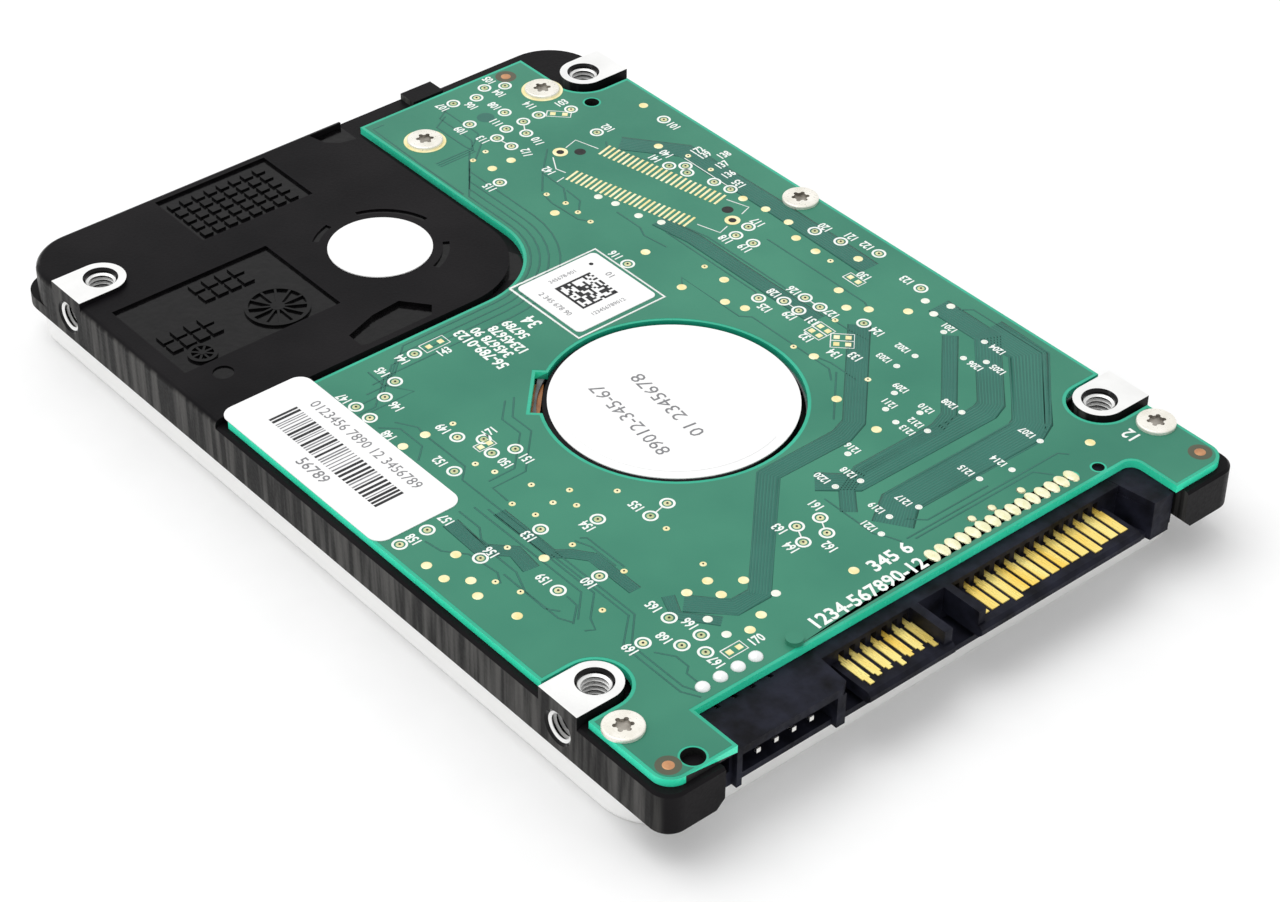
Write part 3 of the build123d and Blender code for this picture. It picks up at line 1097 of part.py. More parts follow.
with BuildPart() as ramp:
    with BuildSketch(Plane.XY.offset(CARRIAGE_LOW)):
        sector(PIVOT, TAB_REACH + 0.5, TAB_REACH + 1.7, PARK - 5, PARK + 7)
    extrude(amount=FLOOR_LOW - 0.1 - CARRIAGE_LOW)
    for low, high in ((SPRING_LEVELS[0] + SPRING_THICK, SPRING_LEVELS[1]),
                      (SPRING_LEVELS[2] + SPRING_THICK, SPRING_LEVELS[3])):
        with BuildSketch(Plane.XY.offset(low + 0.06)):
            sector(PIVOT, HEAD_REACH + 1.3, TAB_REACH + 0.6, PARK - 5, PARK + 5)
        extrude(amount=high - low - 0.12)
    with BuildSketch(Plane.XY.offset(FLOOR_LOW - 1.3)):
        sector(PIVOT, TAB_REACH + 0.6, TAB_REACH + 4.6, PARK + 1.2, PARK + 7)
    extrude(amount=1.3)
    drill([RAMP_SCREW_AT], BOARD_SCREW_R + 0.1, FLOOR_LOW - 1.3, FLOOR_LOW)
    with BuildSketch(Plane.XY.offset(CARRIAGE_LOW - 0.1)):
        with Locations(SPINDLE):
            Circle(PLATTER_R + SHROUD_GAP)
    extrude(amount=FLOOR_LOW, mode=Mode.SUBTRACT)
save(ramp, "head_ramp")

with BuildPart() as ramp_screw:
    ring(RAMP_SCREW_AT, 1.2, 0, FLOOR_LOW - 1.8, FLOOR_LOW - 1.3)
    ring(RAMP_SCREW_AT, BOARD_SCREW_R, 0, FLOOR_LOW - 1.3, FLOOR_LOW + 1.0)
save(ramp_screw, "ramp_screw")

BRACKET_X = HEAD_PLUG[1] + 0.9
with BuildPart() as flex_bracket:
    block(HEAD_PLUG[0] - 1.0, BRACKET_X, HEAD_PLUG[2] - 2.0, HEAD_PLUG[3] + 1.0,
          FLOOR_LOW - 1.8, FLOOR_LOW - 0.6)
    block(BRACKET_X - 0.8, BRACKET_X, HEAD_PLUG[2] - 2.0, HEAD_PLUG[3] - 5.0,
          COVER_WALL + 0.8, FLOOR_LOW - 1.8)
save(flex_bracket, "flex_bracket")

with BuildPart() as flex_cable:
    start = (BRACKET_X + 0.1, HEAD_PLUG[2] + 1.0)
    end = polar(CARRIAGE_R + 1.15, PARK + 100)
    with BuildSketch(Plane.XY.offset(CARRIAGE_LOW + 1.0)):
        with BuildLine():
            low_point = (start[0], end[1] + 4.6)
            Line(start, low_point)
            TangentArc(low_point, (end[0] - 0.4, end[1] + 0.6), tangent=(0, -1))
        trace(line_width=0.12)
    extrude(amount=3.6)
save(flex_cable, "flex_cable")

with BuildPart() as recirculation_filter:
    slanted(polar(PLATTER_R + 2.6, FILTER_ANGLE, SPINDLE), 90 + FILTER_ANGLE, 7.6, 2.6,
            RIM_LOW + 0.2, FLOOR_LOW)
    fillet(recirculation_filter.edges().filter_by(Axis.Z), 0.5)
save(recirculation_filter, "recirculation_filter")

with BuildPart() as breather_filter:
    with BuildSketch(Plane.XY.offset(COVER_WALL)):
        with Locations((CAVITY_REAR_X + 5.0, 2.5)):
            RectangleRounded(6.4, 6.4, 1.0)
    extrude(amount=2.6)
save(breather_filter, "breather_filter")

print("levels", FLOOR_LOW, FLOOR_TOP, BOARD_LOW, BOARD_TOP, HEIGHT)
print("spindle", SPINDLE, "pivot", PIVOT, "latch", LATCH_AT)
print("park", PARK, "inner", INNER, "swing", SWING)
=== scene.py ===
import math
import random

import bpy
from mathutils import Matrix, Vector


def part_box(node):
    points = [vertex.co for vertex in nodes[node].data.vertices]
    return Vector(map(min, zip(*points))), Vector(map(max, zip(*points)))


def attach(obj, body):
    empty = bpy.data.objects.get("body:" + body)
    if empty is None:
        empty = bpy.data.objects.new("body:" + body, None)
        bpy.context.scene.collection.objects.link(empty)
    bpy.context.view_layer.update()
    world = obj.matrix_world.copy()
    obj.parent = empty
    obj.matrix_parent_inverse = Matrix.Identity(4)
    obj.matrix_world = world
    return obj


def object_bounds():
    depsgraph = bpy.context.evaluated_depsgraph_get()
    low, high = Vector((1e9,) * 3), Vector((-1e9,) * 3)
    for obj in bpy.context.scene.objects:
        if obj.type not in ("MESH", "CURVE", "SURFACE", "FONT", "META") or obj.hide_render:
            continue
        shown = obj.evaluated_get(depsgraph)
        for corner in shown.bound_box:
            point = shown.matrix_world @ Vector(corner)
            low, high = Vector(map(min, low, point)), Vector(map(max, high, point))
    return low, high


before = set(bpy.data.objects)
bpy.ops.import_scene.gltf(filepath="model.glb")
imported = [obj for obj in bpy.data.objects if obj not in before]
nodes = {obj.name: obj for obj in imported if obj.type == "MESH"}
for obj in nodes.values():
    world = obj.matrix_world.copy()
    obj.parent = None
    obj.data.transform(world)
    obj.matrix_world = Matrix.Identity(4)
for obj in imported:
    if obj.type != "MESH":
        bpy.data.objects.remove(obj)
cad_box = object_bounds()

MM = 0.001


# ---------------------------------------------------------------- camera
# A long lens from above the connector corner, with the drive turned so that its lower long
# side runs down to the right.
AZIMUTH = math.radians(49.2737)
ELEVATION = math.radians(38.0769)
ROLL = 0.013557
DISTANCE = 303.66
ASIDE = 3.671
BELOW = 2.488
LENS = 87.18

back = Vector((
    math.sin(AZIMUTH) * math.cos(ELEVATION),
    -math.cos(AZIMUTH) * math.cos(ELEVATION),
    math.sin(ELEVATION),
))
level = Vector((math.cos(AZIMUTH), math.sin(AZIMUTH), 0))
upright = back.cross(level)
right = level * math.cos(ROLL) + upright * math.sin(ROLL)
up = upright * math.cos(ROLL) - level * math.sin(ROLL)
bpy.ops.object.camera_add()
camera = bpy.context.object
camera.name = "camera"
camera.data.sensor_width = 36
camera.data.lens = LENS
camera.data.clip_start = 0.01
camera.data.clip_end = 10
turned = Matrix((right, up, back)).transposed().to_4x4()
turned.translation = (back * DISTANCE + right * ASIDE - up * BELOW) * MM
camera.matrix_world = turned
bpy.context.scene.camera = camera


# ---------------------------------------------------------------- studio
# A white sweep under one large soft lamp on the left, with a dimmer room around it, so the
# flat top stays dark where it is black and the shadow falls softly to the right.
ROOM_LIGHT = 0.86
LAMP_WATTS = 2.6
LAMP_SIZE = 0.7
LAMP_AT = Vector((-0.24, -0.16, 0.74))
FLOOR_REACH = 6.0

room = bpy.data.worlds.new("room")
room.use_nodes = True
room.node_tree.nodes["Background"].inputs["Color"].default_value = (1, 1, 1, 1)
room.node_tree.nodes["Background"].inputs["Strength"].default_value = ROOM_LIGHT
bpy.context.scene.world = room
bpy.context.scene.view_settings.view_transform = "Standard"
bpy.ops.object.light_add(type="AREA", location=LAMP_AT)
lamp = bpy.context.object
lamp.name = "softbox"
lamp.data.size = LAMP_SIZE
lamp.data.energy = LAMP_WATTS
lamp.rotation_euler = (-LAMP_AT).to_track_quat("-Z", "Y").to_euler()


def select_only(piece):
    """Leaves one object selected and active."""
    bpy.ops.object.select_all(action="DESELECT")
    piece.select_set(True)
    bpy.context.view_layer.objects.active = piece


def grain_group():
    """Broad patches and fine specks on any coordinates, with a bump made from the specks."""
    group = bpy.data.node_groups.new("grain", "ShaderNodeTree")
    face = group.interface
    face.new_socket("Coordinates", in_out="INPUT", socket_type="NodeSocketVector")
    for name in ("Patch Scale", "Speck Scale", "Depth"):
        face.new_socket(name, in_out="INPUT", socket_type="NodeSocketFloat")
    face.new_socket("Patches", in_out="OUTPUT", socket_type="NodeSocketFloat")
    face.new_socket("Specks", in_out="OUTPUT", socket_type="NodeSocketFloat")
    face.new_socket("Normal", in_out="OUTPUT", socket_type="NodeSocketVector")
    make, link = group.nodes.new, group.links.new
    inner, outer = make("NodeGroupInput"), make("NodeGroupOutput")
    for scale, out in (("Patch Scale", "Patches"), ("Speck Scale", "Specks")):
        noise = make("ShaderNodeTexNoise")
        noise.inputs["Detail"].default_value = 3
        link(inner.outputs["Coordinates"], noise.inputs["Vector"])
        link(inner.outputs[scale], noise.inputs["Scale"])
        link(noise.outputs["Fac"], outer.inputs[out])
    bump = make("ShaderNodeBump")
    bump.inputs["Distance"].default_value = 0.05 * MM
    link(inner.outputs["Depth"], bump.inputs["Strength"])
    link(noise.outputs["Fac"], bump.inputs["Height"])
    link(bump.outputs["Normal"], outer.inputs["Normal"])
    return group


grain = grain_group()


def finish(name, dark, light, rough, metallic=0.0, patch=120, speck=2500, depth=0.15,
           stretch=(1, 1, 1), gloss=0.5, coat=0.0):
    """A surface whose colour and roughness wander between two values, with a fine bump."""
    material = bpy.data.materials.new(name)
    material.use_nodes = True
    tree = material.node_tree
    shader = tree.nodes["Principled BSDF"]
    shader.inputs["Metallic"].default_value = metallic
    shader.inputs["Specular IOR Level"].default_value = gloss
    shader.inputs["Coat Weight"].default_value = coat
    shader.inputs["Coat Roughness"].default_value = 0.08
    where = tree.nodes.new("ShaderNodeTexCoord")
    mapping = tree.nodes.new("ShaderNodeMapping")
    mapping.inputs["Scale"].default_value = stretch
    tree.links.new(where.outputs["Object"], mapping.inputs["Vector"])
    texture = tree.nodes.new("ShaderNodeGroup")
    texture.node_tree = grain
    texture.name = "grain"
    texture.inputs["Patch Scale"].default_value = patch
    texture.inputs["Speck Scale"].default_value = speck
    texture.inputs["Depth"].default_value = depth
    tree.links.new(mapping.outputs["Vector"], texture.inputs["Coordinates"])
    ramp = tree.nodes.new("ShaderNodeValToRGB")
    ramp.name = "colours"
    ramp.color_ramp.elements[0].position = 0.32
    ramp.color_ramp.elements[0].color = (*dark, 1)
    ramp.color_ramp.elements[1].position = 0.68
    ramp.color_ramp.elements[1].color = (*light, 1)
    tree.links.new(texture.outputs["Patches"], ramp.inputs["Fac"])
    tree.links.new(ramp.outputs["Color"], shader.inputs["Base Color"])
    spread = tree.nodes.new("ShaderNodeMapRange")
    spread.inputs["From Min"].default_value = 0.3
    spread.inputs["From Max"].default_value = 0.7
    spread.inputs["To Min"].default_value = rough[0]
    spread.inputs["To Max"].default_value = rough[1]
    tree.links.new(texture.outputs["Specks"], spread.inputs["Value"])
    tree.links.new(spread.outputs["Result"], shader.inputs["Roughness"])
    tree.links.new(texture.outputs["Normal"], shader.inputs["Normal"])
    return material


def settle(piece, name, material, body="housing"):
    """Moves a new piece's place into its mesh, and gives it its name, finish and body."""
    piece.name = name
    select_only(piece)
    bpy.ops.object.transform_apply(location=True, rotation=True, scale=True)
    piece.data.materials.clear()
    piece.data.materials.append(material)
    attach(piece, body)
    return piece


def coat_nodes(material, *names):
    """Gives carried-over pieces their finish."""
    for name in names:
        nodes[name].data.materials.clear()
        nodes[name].data.materials.append(material)


def join(pieces):
    """Joins like pieces into the first of them."""
    bpy.ops.object.select_all(action="DESELECT")
    for piece in pieces:
        piece.select_set(True)
    bpy.context.view_layer.objects.active = pieces[0]
    bpy.ops.object.join()
    return pieces[0]


bpy.ops.object.select_all(action="DESELECT")
bpy.ops.mesh.primitive_plane_add(size=FLOOR_REACH, location=(0, 0, -0.02 * MM))
floor = bpy.context.object
floor.name = "floor"
floor.data.materials.append(
    finish("white_sweep", (0.93, 0.93, 0.93), (0.95, 0.95, 0.95), (0.7, 0.8), depth=0.0, gloss=0.1)
)


# ---------------------------------------------------------------- base casting
# A die casting of aluminium with a thin black satin coating. The four mounting pads and all
# threaded holes are machined afterwards, so they are bare metal; the bore walls behind the thread
# ridges are coloured near black as painted shade.
HEIGHT = cad_box[1].z
HOLES = [(x * MM, y * MM) for x in (36.1, -40.5) for y in (30.86, -30.86)]
HOLE_DEEP = 4.0 * MM
SIDE_HOLE_DEEP = 2.2 * MM
SIDE_HOLE_Z = HEIGHT - 3.0 * MM
BORE_R = 1.5 * MM
MOUTH_R = 1.8 * MM
SIDE_Y = cad_box[1].y

black = finish("black_coating", (0.0052, 0.0048, 0.0056), (0.0105, 0.0095, 0.0105), (0.3, 0.46),
               patch=90, speck=3200, depth=0.28, gloss=0.06)
tree = black.node_tree
shape = tree.nodes.new("ShaderNodeNewGeometry")
axes = tree.nodes.new("ShaderNodeSeparateXYZ")
tree.links.new(shape.outputs["Normal"], axes.inputs["Vector"])
sideways = tree.nodes.new("ShaderNodeMath")
sideways.operation = "ABSOLUTE"
tree.links.new(axes.outputs["Y"], sideways.inputs[0])
streaks = tree.nodes.new("ShaderNodeTexNoise")
streaks.inputs["Scale"].default_value = 1100
streaks.inputs["Detail"].default_value = 5
squeeze = tree.nodes.new("ShaderNodeMapping")
squeeze.inputs["Scale"].default_value = (1, 0.1, 0.05)
tree.links.new(tree.nodes["Texture Coordinate"].outputs["Object"], squeeze.inputs["Vector"])
tree.links.new(squeeze.outputs["Vector"], streaks.inputs["Vector"])
drawn = tree.nodes.new("ShaderNodeMapRange")
drawn.inputs["From Min"].default_value = 0.42
drawn.inputs["From Max"].default_value = 0.64
tree.links.new(streaks.outputs["Fac"], drawn.inputs["Value"])
sidewalls = tree.nodes.new("ShaderNodeMix")
sidewalls.data_type = "RGBA"
sidewalls.inputs["A"].default_value = (0.012, 0.0115, 0.0115, 1)
sidewalls.inputs["B"].default_value = (0.072, 0.070, 0.067, 1)
tree.links.new(drawn.outputs["Result"], sidewalls.inputs["Factor"])
flat_side = tree.nodes.new("ShaderNodeMapRange")
flat_side.inputs["From Min"].default_value = 0.75
flat_side.inputs["From Max"].default_value = 0.98
tree.links.new(sideways.outputs["Value"], flat_side.inputs["Value"])
blend = tree.nodes.new("ShaderNodeMix")
blend.data_type = "RGBA"
tree.links.new(flat_side.outputs["Result"], blend.inputs["Factor"])
tree.links.new(tree.nodes["colours"].outputs["Color"], blend.inputs["A"])
tree.links.new(sidewalls.outputs["Result"], blend.inputs["B"])
tree.links.new(blend.outputs["Result"], tree.nodes["Principled BSDF"].inputs["Base Color"])
# Painted shade for the walls of the threaded bores, and a darker, glossier black for the marks cast into the deck.
bore_shade_and_mark_black = finish("painted_bore_shade_and_dark_marks", (0.0016, 0.0015, 0.0018), (0.004, 0.0036, 0.004), (0.1, 0.2),
                   patch=700, speck=1400, depth=0.5, gloss=0.2)

bare = finish("bare_aluminium", (0.86, 0.86, 0.85), (0.95, 0.95, 0.94), (0.28, 0.42), metallic=0.45,
              patch=300, speck=4000, depth=0.12)
casting = nodes["base_casting"]
coat_nodes(black, "base_casting")
casting.data.materials.append(bare)
casting.data.materials.append(bore_shade_and_mark_black)
DECK_TOP = HEIGHT - 0.5 * MM
DECK_SIDE_Y = 5.0 * MM
for face in casting.data.polygons:
    middle = face.center
    pad_top = middle.z > HEIGHT - 0.06 * MM and face.normal.z > 0.9
    bore = any(
        math.hypot(middle.x - x, middle.y - y) < MOUTH_R and middle.z > HEIGHT - HOLE_DEEP - 0.1 * MM
        for x, y in HOLES
    )
    side_bore = abs(middle.y) > SIDE_Y - SIDE_HOLE_DEEP - 0.1 * MM and any(
        math.hypot(middle.x - x, middle.z - SIDE_HOLE_Z) < MOUTH_R for x, y in HOLES
    )
    mark = (DECK_TOP - 0.7 * MM < middle.z < DECK_TOP - 0.03 * MM and middle.y < DECK_SIDE_Y
            and cad_box[0].x + 0.8 * MM < middle.x < -14.9 * MM and middle.y > cad_box[0].y + 0.9 * MM)
    if pad_top:
        face.material_index = 1
    # Bore walls take the painted shade; the deck marks take the darker black.
    elif bore or side_bore or mark:
        face.material_index = 2


# ---------------------------------------------------------------- mounting threads
# Eight tapped M3 holes. Each thread is a run of sharp ridges half a millimetre apart, cut
# into the bare metal of the bore.
THREAD_PITCH = 0.5 * MM
RIDGE_HIGH = 0.27 * MM
RIDGE_SIDES = 36

bpy.ops.object.select_all(action="DESELECT")
bpy.ops.mesh.primitive_circle_add(vertices=RIDGE_SIDES, radius=BORE_R + 0.02 * MM)
ridge = bpy.context.object
bpy.ops.object.mode_set(mode="EDIT")
bpy.ops.mesh.extrude_region_move(
    TRANSFORM_OT_translate={"value": (0, 0, THREAD_PITCH * 0.27)})
inward = (BORE_R - RIDGE_HIGH) / (BORE_R + 0.02 * MM)
bpy.ops.transform.resize(value=(inward, inward, 1))
bpy.ops.mesh.extrude_region_move(
    TRANSFORM_OT_translate={"value": (0, 0, THREAD_PITCH * 0.1)})
bpy.ops.mesh.extrude_region_move(
    TRANSFORM_OT_translate={"value": (0, 0, THREAD_PITCH * 0.27)})
bpy.ops.transform.resize(value=(1 / inward, 1 / inward, 1))
bpy.ops.mesh.select_all(action="SELECT")
bpy.ops.mesh.normals_make_consistent(inside=True)
bpy.ops.object.mode_set(mode="OBJECT")


def thread(turns, place, turn):
    """A copy of the ridge, stacked along its bore and put in place."""
    piece = ridge.copy()
    piece.data = ridge.data.copy()
    bpy.context.collection.objects.link(piece)
    select_only(piece)
    stack = piece.modifiers.new("stack", "ARRAY")
    stack.count = turns
    stack.use_relative_offset = False
    stack.use_constant_offset = True
    stack.constant_offset_displace = (0, 0, -THREAD_PITCH)
    bpy.ops.object.modifier_apply(modifier="stack")
    piece.location = place
    piece.rotation_euler = turn
    return piece


threads = []
for x, y in HOLES:
    side = math.copysign(1, y)
    threads.append(thread(7, (x, y, HEIGHT - 0.8 * MM), (0, 0, 0)))
    threads.append(thread(4, (x, side * (SIDE_Y - 0.55 * MM), SIDE_HOLE_Z), (-side * math.pi / 2, 0, 0)))
bpy.data.objects.remove(ridge)
settle(join(threads), "mounting_threads", bare)


# ---------------------------------------------------------------- circuit board
# Glass epoxy under a glossy green solder mask. The copper under the mask stops short of
# every edge, so a lighter, clearer border is left around the board and its cut-outs.
BOARD_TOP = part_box("circuit_board")[1].z
SPINDLE_X = 10.1 * MM
BORDER = 0.33 * MM
COPPER = 0.018 * MM
BOARD_HOLES = [
    (-40.8, 25.34), (-40.63, 9.35), (-7.3, 32.495), (41.7, 32.625), (41.7, -32.425), (42.8, -14.25),
    (42.8, 23.59), (-35.54, 27.97), (47.95, -30.2),
]

edge_green = finish("clear_mask", (0.012, 0.37, 0.225), (0.022, 0.46, 0.29), (0.25, 0.35),
                    patch=160, speck=1500, depth=0.1, gloss=0.5)
mask_green = finish("solder_mask", (0.028, 0.190, 0.122), (0.046, 0.240, 0.152), (0.30, 0.42),
                    patch=70, speck=2600, depth=0.1, gloss=0.3)
coat_nodes(edge_green, "circuit_board")
# The outer cut edges of the board get a much brighter green as a painted highlight, standing in for the light they
# catch.
edge_highlight_green = finish("painted_highlight_board_edge", (0.03, 0.78, 0.46), (0.06, 0.90, 0.58), (0.2, 0.3), patch=160, speck=1500,
                    depth=0.1, gloss=0.5)
nodes["circuit_board"].data.materials.append(edge_highlight_green)
hole_black = finish("hole_shadow", (0.004, 0.004, 0.004), (0.010, 0.012, 0.010), (0.5, 0.7), depth=0.05)
nodes["circuit_board"].data.materials.append(hole_black)
# Outer side faces take the painted highlight, and drilled walls the painted hole shadow.
for face in nodes["circuit_board"].data.polygons:
    middle = face.center
    if abs(face.normal.z) < 0.5:
        drilled_wall = any(math.hypot(middle.x - x * MM, middle.y - y * MM) < 1.5 * MM for x, y in BOARD_HOLES)
        motor_wall = math.hypot(middle.x - SPINDLE_X, middle.y) < 13 * MM
        face.material_index = 2 if drilled_wall else 0 if motor_wall else 1
pour = nodes["circuit_board"].copy()
pour.data = nodes["circuit_board"].data.copy()
for key in list(pour.keys()):
    del pour[key]
pour.parent = None
bpy.context.collection.objects.link(pour)
select_only(pour)
bpy.ops.object.mode_set(mode="EDIT")
bpy.ops.mesh.select_all(action="SELECT")
bpy.ops.mesh.remove_doubles(threshold=0.001 * MM)
bpy.ops.mesh.select_mode(type="FACE")
bpy.ops.mesh.select_all(action="DESELECT")
bpy.ops.object.mode_set(mode="OBJECT")
for face in pour.data.polygons:
    face.select = face.center.z < BOARD_TOP - 0.001 * MM or face.normal.z < 0.9
bpy.ops.object.mode_set(mode="EDIT")
bpy.ops.mesh.delete(type="FACE")
bpy.ops.mesh.select_mode(type="EDGE")
cutters = []
for x, y in BOARD_HOLES:
    bpy.ops.mesh.select_all(action="DESELECT")
    bpy.ops.object.mode_set(mode="OBJECT")
    away = [math.hypot(v.co.x - x * MM, v.co.y - y * MM) for v in pour.data.vertices]
    rim_r = min(away)
    for edge in pour.data.edges:
        edge.select = all(away[index] < rim_r + 0.02 * MM for index in edge.vertices)
    bpy.ops.object.mode_set(mode="EDIT")
    bpy.ops.mesh.edge_face_add()
    cutters.append((x * MM, y * MM, rim_r + 0.2 * MM))
bpy.ops.mesh.select_mode(type="FACE")
bpy.ops.mesh.select_all(action="SELECT")
bpy.ops.mesh.dissolve_limited(angle_limit=0.01)
bpy.ops.mesh.select_all(action="SELECT")
bpy.ops.mesh.inset(thickness=BORDER, depth=0, use_boundary=True, use_even_offset=True)
bpy.ops.mesh.select_all(action="INVERT")
bpy.ops.mesh.delete(type="FACE")
bpy.ops.mesh.select_mode(type="VERT")
bpy.ops.object.mode_set(mode="OBJECT")
raised = pour.modifiers.new("raised", "SOLIDIFY")
raised.thickness = COPPER
raised.offset = 1
bpy.ops.object.modifier_apply(modifier="raised")
drills = []
for x, y, radius in cutters:
    bpy.ops.object.select_all(action="DESELECT")
    bpy.ops.mesh.primitive_cylinder_add(vertices=40, radius=radius, depth=1 * MM, location=(x, y, BOARD_TOP))
    drills.append(bpy.context.object)
drill_set = join(drills)
select_only(pour)
drilled = pour.modifiers.new("drilled", "BOOLEAN")
drilled.operation = "DIFFERENCE"
drilled.object = drill_set
bpy.ops.object.modifier_apply(modifier="drilled")
bpy.data.objects.remove(drill_set)
settle(pour, "board_copper_fill", mask_green)
FILL_TOP = BOARD_TOP + COPPER


# ---------------------------------------------------------------- board tracks
# Copper tracks under the mask stand a hair above the board and look darker than the fill.
# They run singly round the deck, and in close bundles to the connector.
TRACK_WIDE = 0.2
TRACK_HIGH = 0.02 * MM

track_green = finish("mask_over_tracks", (0.016, 0.125, 0.092), (0.021, 0.150, 0.112), (0.28, 0.4),
                     patch=200, speck=2600, depth=0.1, gloss=0.42)
belt_green = finish("mask_between_tracks", (0.018, 0.150, 0.110), (0.028, 0.180, 0.130), (0.28, 0.4), patch=120,
                    speck=2600, depth=0.1, gloss=0.42)
BELT_FLAT = 0.0015
STEP_CENTRE = (-22.55, -3.27)


def bundle(points, count, gap):
    """Parallel tracks along one route, spread to both sides of it."""
    routes = []
    for index in range(count):
        shift = (index - (count - 1) / 2) * gap
        route = []
        for here, (x, y) in enumerate(points):
            before = points[max(here - 1, 0)]
            after = points[min(here + 1, len(points) - 1)]
            lengthways = Vector((after[0] - before[0], after[1] - before[1])).normalized()
            first = Vector((x - before[0], y - before[1])).normalized() if here else lengthways
            spread = shift / max(0.35, abs(lengthways.dot(first)))
            route.append((x - lengthways.y * spread, y + lengthways.x * spread))
        routes.append(route)
    return routes


tracks = []
for radius in (9.75, 10.65, 11.55, 12.7):
    sweep = [math.radians(90 - turn) for turn in range(0, 91, 9)]
    bend = [(STEP_CENTRE[0] + radius * math.cos(a), STEP_CENTRE[1] + radius * math.sin(a)) for a in sweep]
    start_x = -29 - (radius - 9.5) * 1.3
    low_y = -14 - (radius - 9.5) * 1.5
    tracks.append([(start_x - 3, bend[0][1] + 2.4), (start_x, bend[0][1]), *bend, (bend[-1][0], low_y),
                   (bend[-1][0] + 3.2, low_y - 3.4), (bend[-1][0] + 3.2, low_y - 6)])
for x in (-45.6, -44.4, -43.2):
    tracks.append([(x, 16.4 - (x + 45.6)), (x + 1.2, 14.6 - (x + 45.6) * 1.1),
                   (-38.2 + (x + 45.6) * 0.4, 14.6 - (x + 45.6) * 1.1), (-36.4 + (x + 45.6) * 0.3, 12.2),
                   (-36.4 + (x + 45.6) * 0.3, 7.6)])
tracks += [
    [(-11.5, -19.5), (-8.9, -19.6), (-6.3, -17.9), (-6.3, -23)],
    [(-3.6, -22.2), (-1.6, -21.0), (-0.6, -21.2)], [(0.3, -21.2), (5.8, -21.2), (7.2, -22.6), (17, -22.6)],
    [(-3.9, -23.9), (-2.5, -22.4), (0.9, -22.4), (2.4, -24.0)],
    [(0.4, -11.2), (2.7, -13.2), (5.5, -13.2), (9.9, -17.4), (9.9, -21.2), (12.2, -21.3)],
    [(0.3, -12.2), (2.4, -14.2), (5.1, -14.2), (8.9, -17.9), (8.9, -20.9)],
    [(20.4, -19.6), (20.8, -19.1), (26.0, -19.1)], [(20.4, -20.2), (22, -19.6), (25.4, -19.6)],
    [(12, -23.4), (25.0, -23.4), (27.0, -23.4), (29.4, -25.8), (30.8, -26.4), (30.3, -27.2)],
    [(11, -24.2), (18.5, -24.2), (26.2, -24.2), (28.8, -26.7)], [(25.8, -25.5), (27.3, -25.6), (29.0, -27.4)],
    [(18, -22.5), (31.4, -22.5), (34.3, -25.3), (41.0, -25.3), (42.5, -24.6)],
    [(19, -23.0), (31.2, -23.0), (33.9, -25.9), (41.4, -25.9), (43.0, -25.0)],
    [(36.2, -24.4), (37.8, -23.3), (39.4, -23.3), (40.0, -24.0), (41.4, -24.0)],
    [(12.2, -26.5), (17, -26.9), (20.5, -26.9), (23, -27.9), (27.6, -27.9), (28.8, -27.3)],
    [(12, -30.5), (14, -30.2), (15.9, -28.6), (19.5, -28.2), (20.8, -28.9)],
    [(10.6, -25.6), (13.6, -25.6), (15.0, -26.5), (16.4, -26.5)], [(20.0, -27.9), (25.9, -28.0), (27.0, -27.2)],
    [(-16, 19.0), (-8.2, 20.6), (12.5, 20.6), (15, 20.9)], [(-11.5, 17.9), (2, 17.9), (3, 17.4)],
    [(-9.5, 16.2), (-12.5, 15.8), (-13.8, 16.4), (-17.5, 16.4)], [(-4.1, 25.0), (10.2, 25.0), (11.3, 24.5)],
    [(-3.2, 12.9), (-4.5, 13.9), (4.1, 13.9), (5.0, 14.8), (16.0, 14.8), (17.5, 13.7)],
    [(13.6, 15.1), (15.4, 15.6), (19.0, 15.6)], [(16.9, 31.2), (17.9, 32.4), (27.1, 32.4), (36.1, 23.6)],
    [(-28.5, 24.1), (-27.2, 23.2), (-22.5, 25.4), (-22.5, 27.0)], [(-31.3, 18.4), (-28.1, 15.2), (-25.3, 12.9)],
    [(-28.0, 15.1), (-24.4, 15.0), (-22.1, 13.5)], [(-23.9, 15.0), (-21.5, 14.8), (-20.0, 13.4)],
    [(-25.0, 12.7), (-23, 12.3), (-19.0, 12.5), (-17.9, 13.2)], [(39.0, 2.8), (39.0, 22.2), (39.8, 22.9)],
    [(39.5, 3.4), (39.5, 18.4), (41.0, 19.6)], [(30.2, 1.0), (36.6, 1.0), (37.6, 1.6), (39.0, 2.2)],
    [(-46.0, 7.9), (-46.0, 6.5), (-38, 6.3), (-30, 6.3)], [(22.1, 9.7), (18.8, 13.0), (16.8, 15.0)],
    [(-34.2, 11.0), (-35.4, 12.4), (-36.8, 14.0)], [(38.3, 13.8), (38.3, 6.1), (36.9, 4.6)],
]
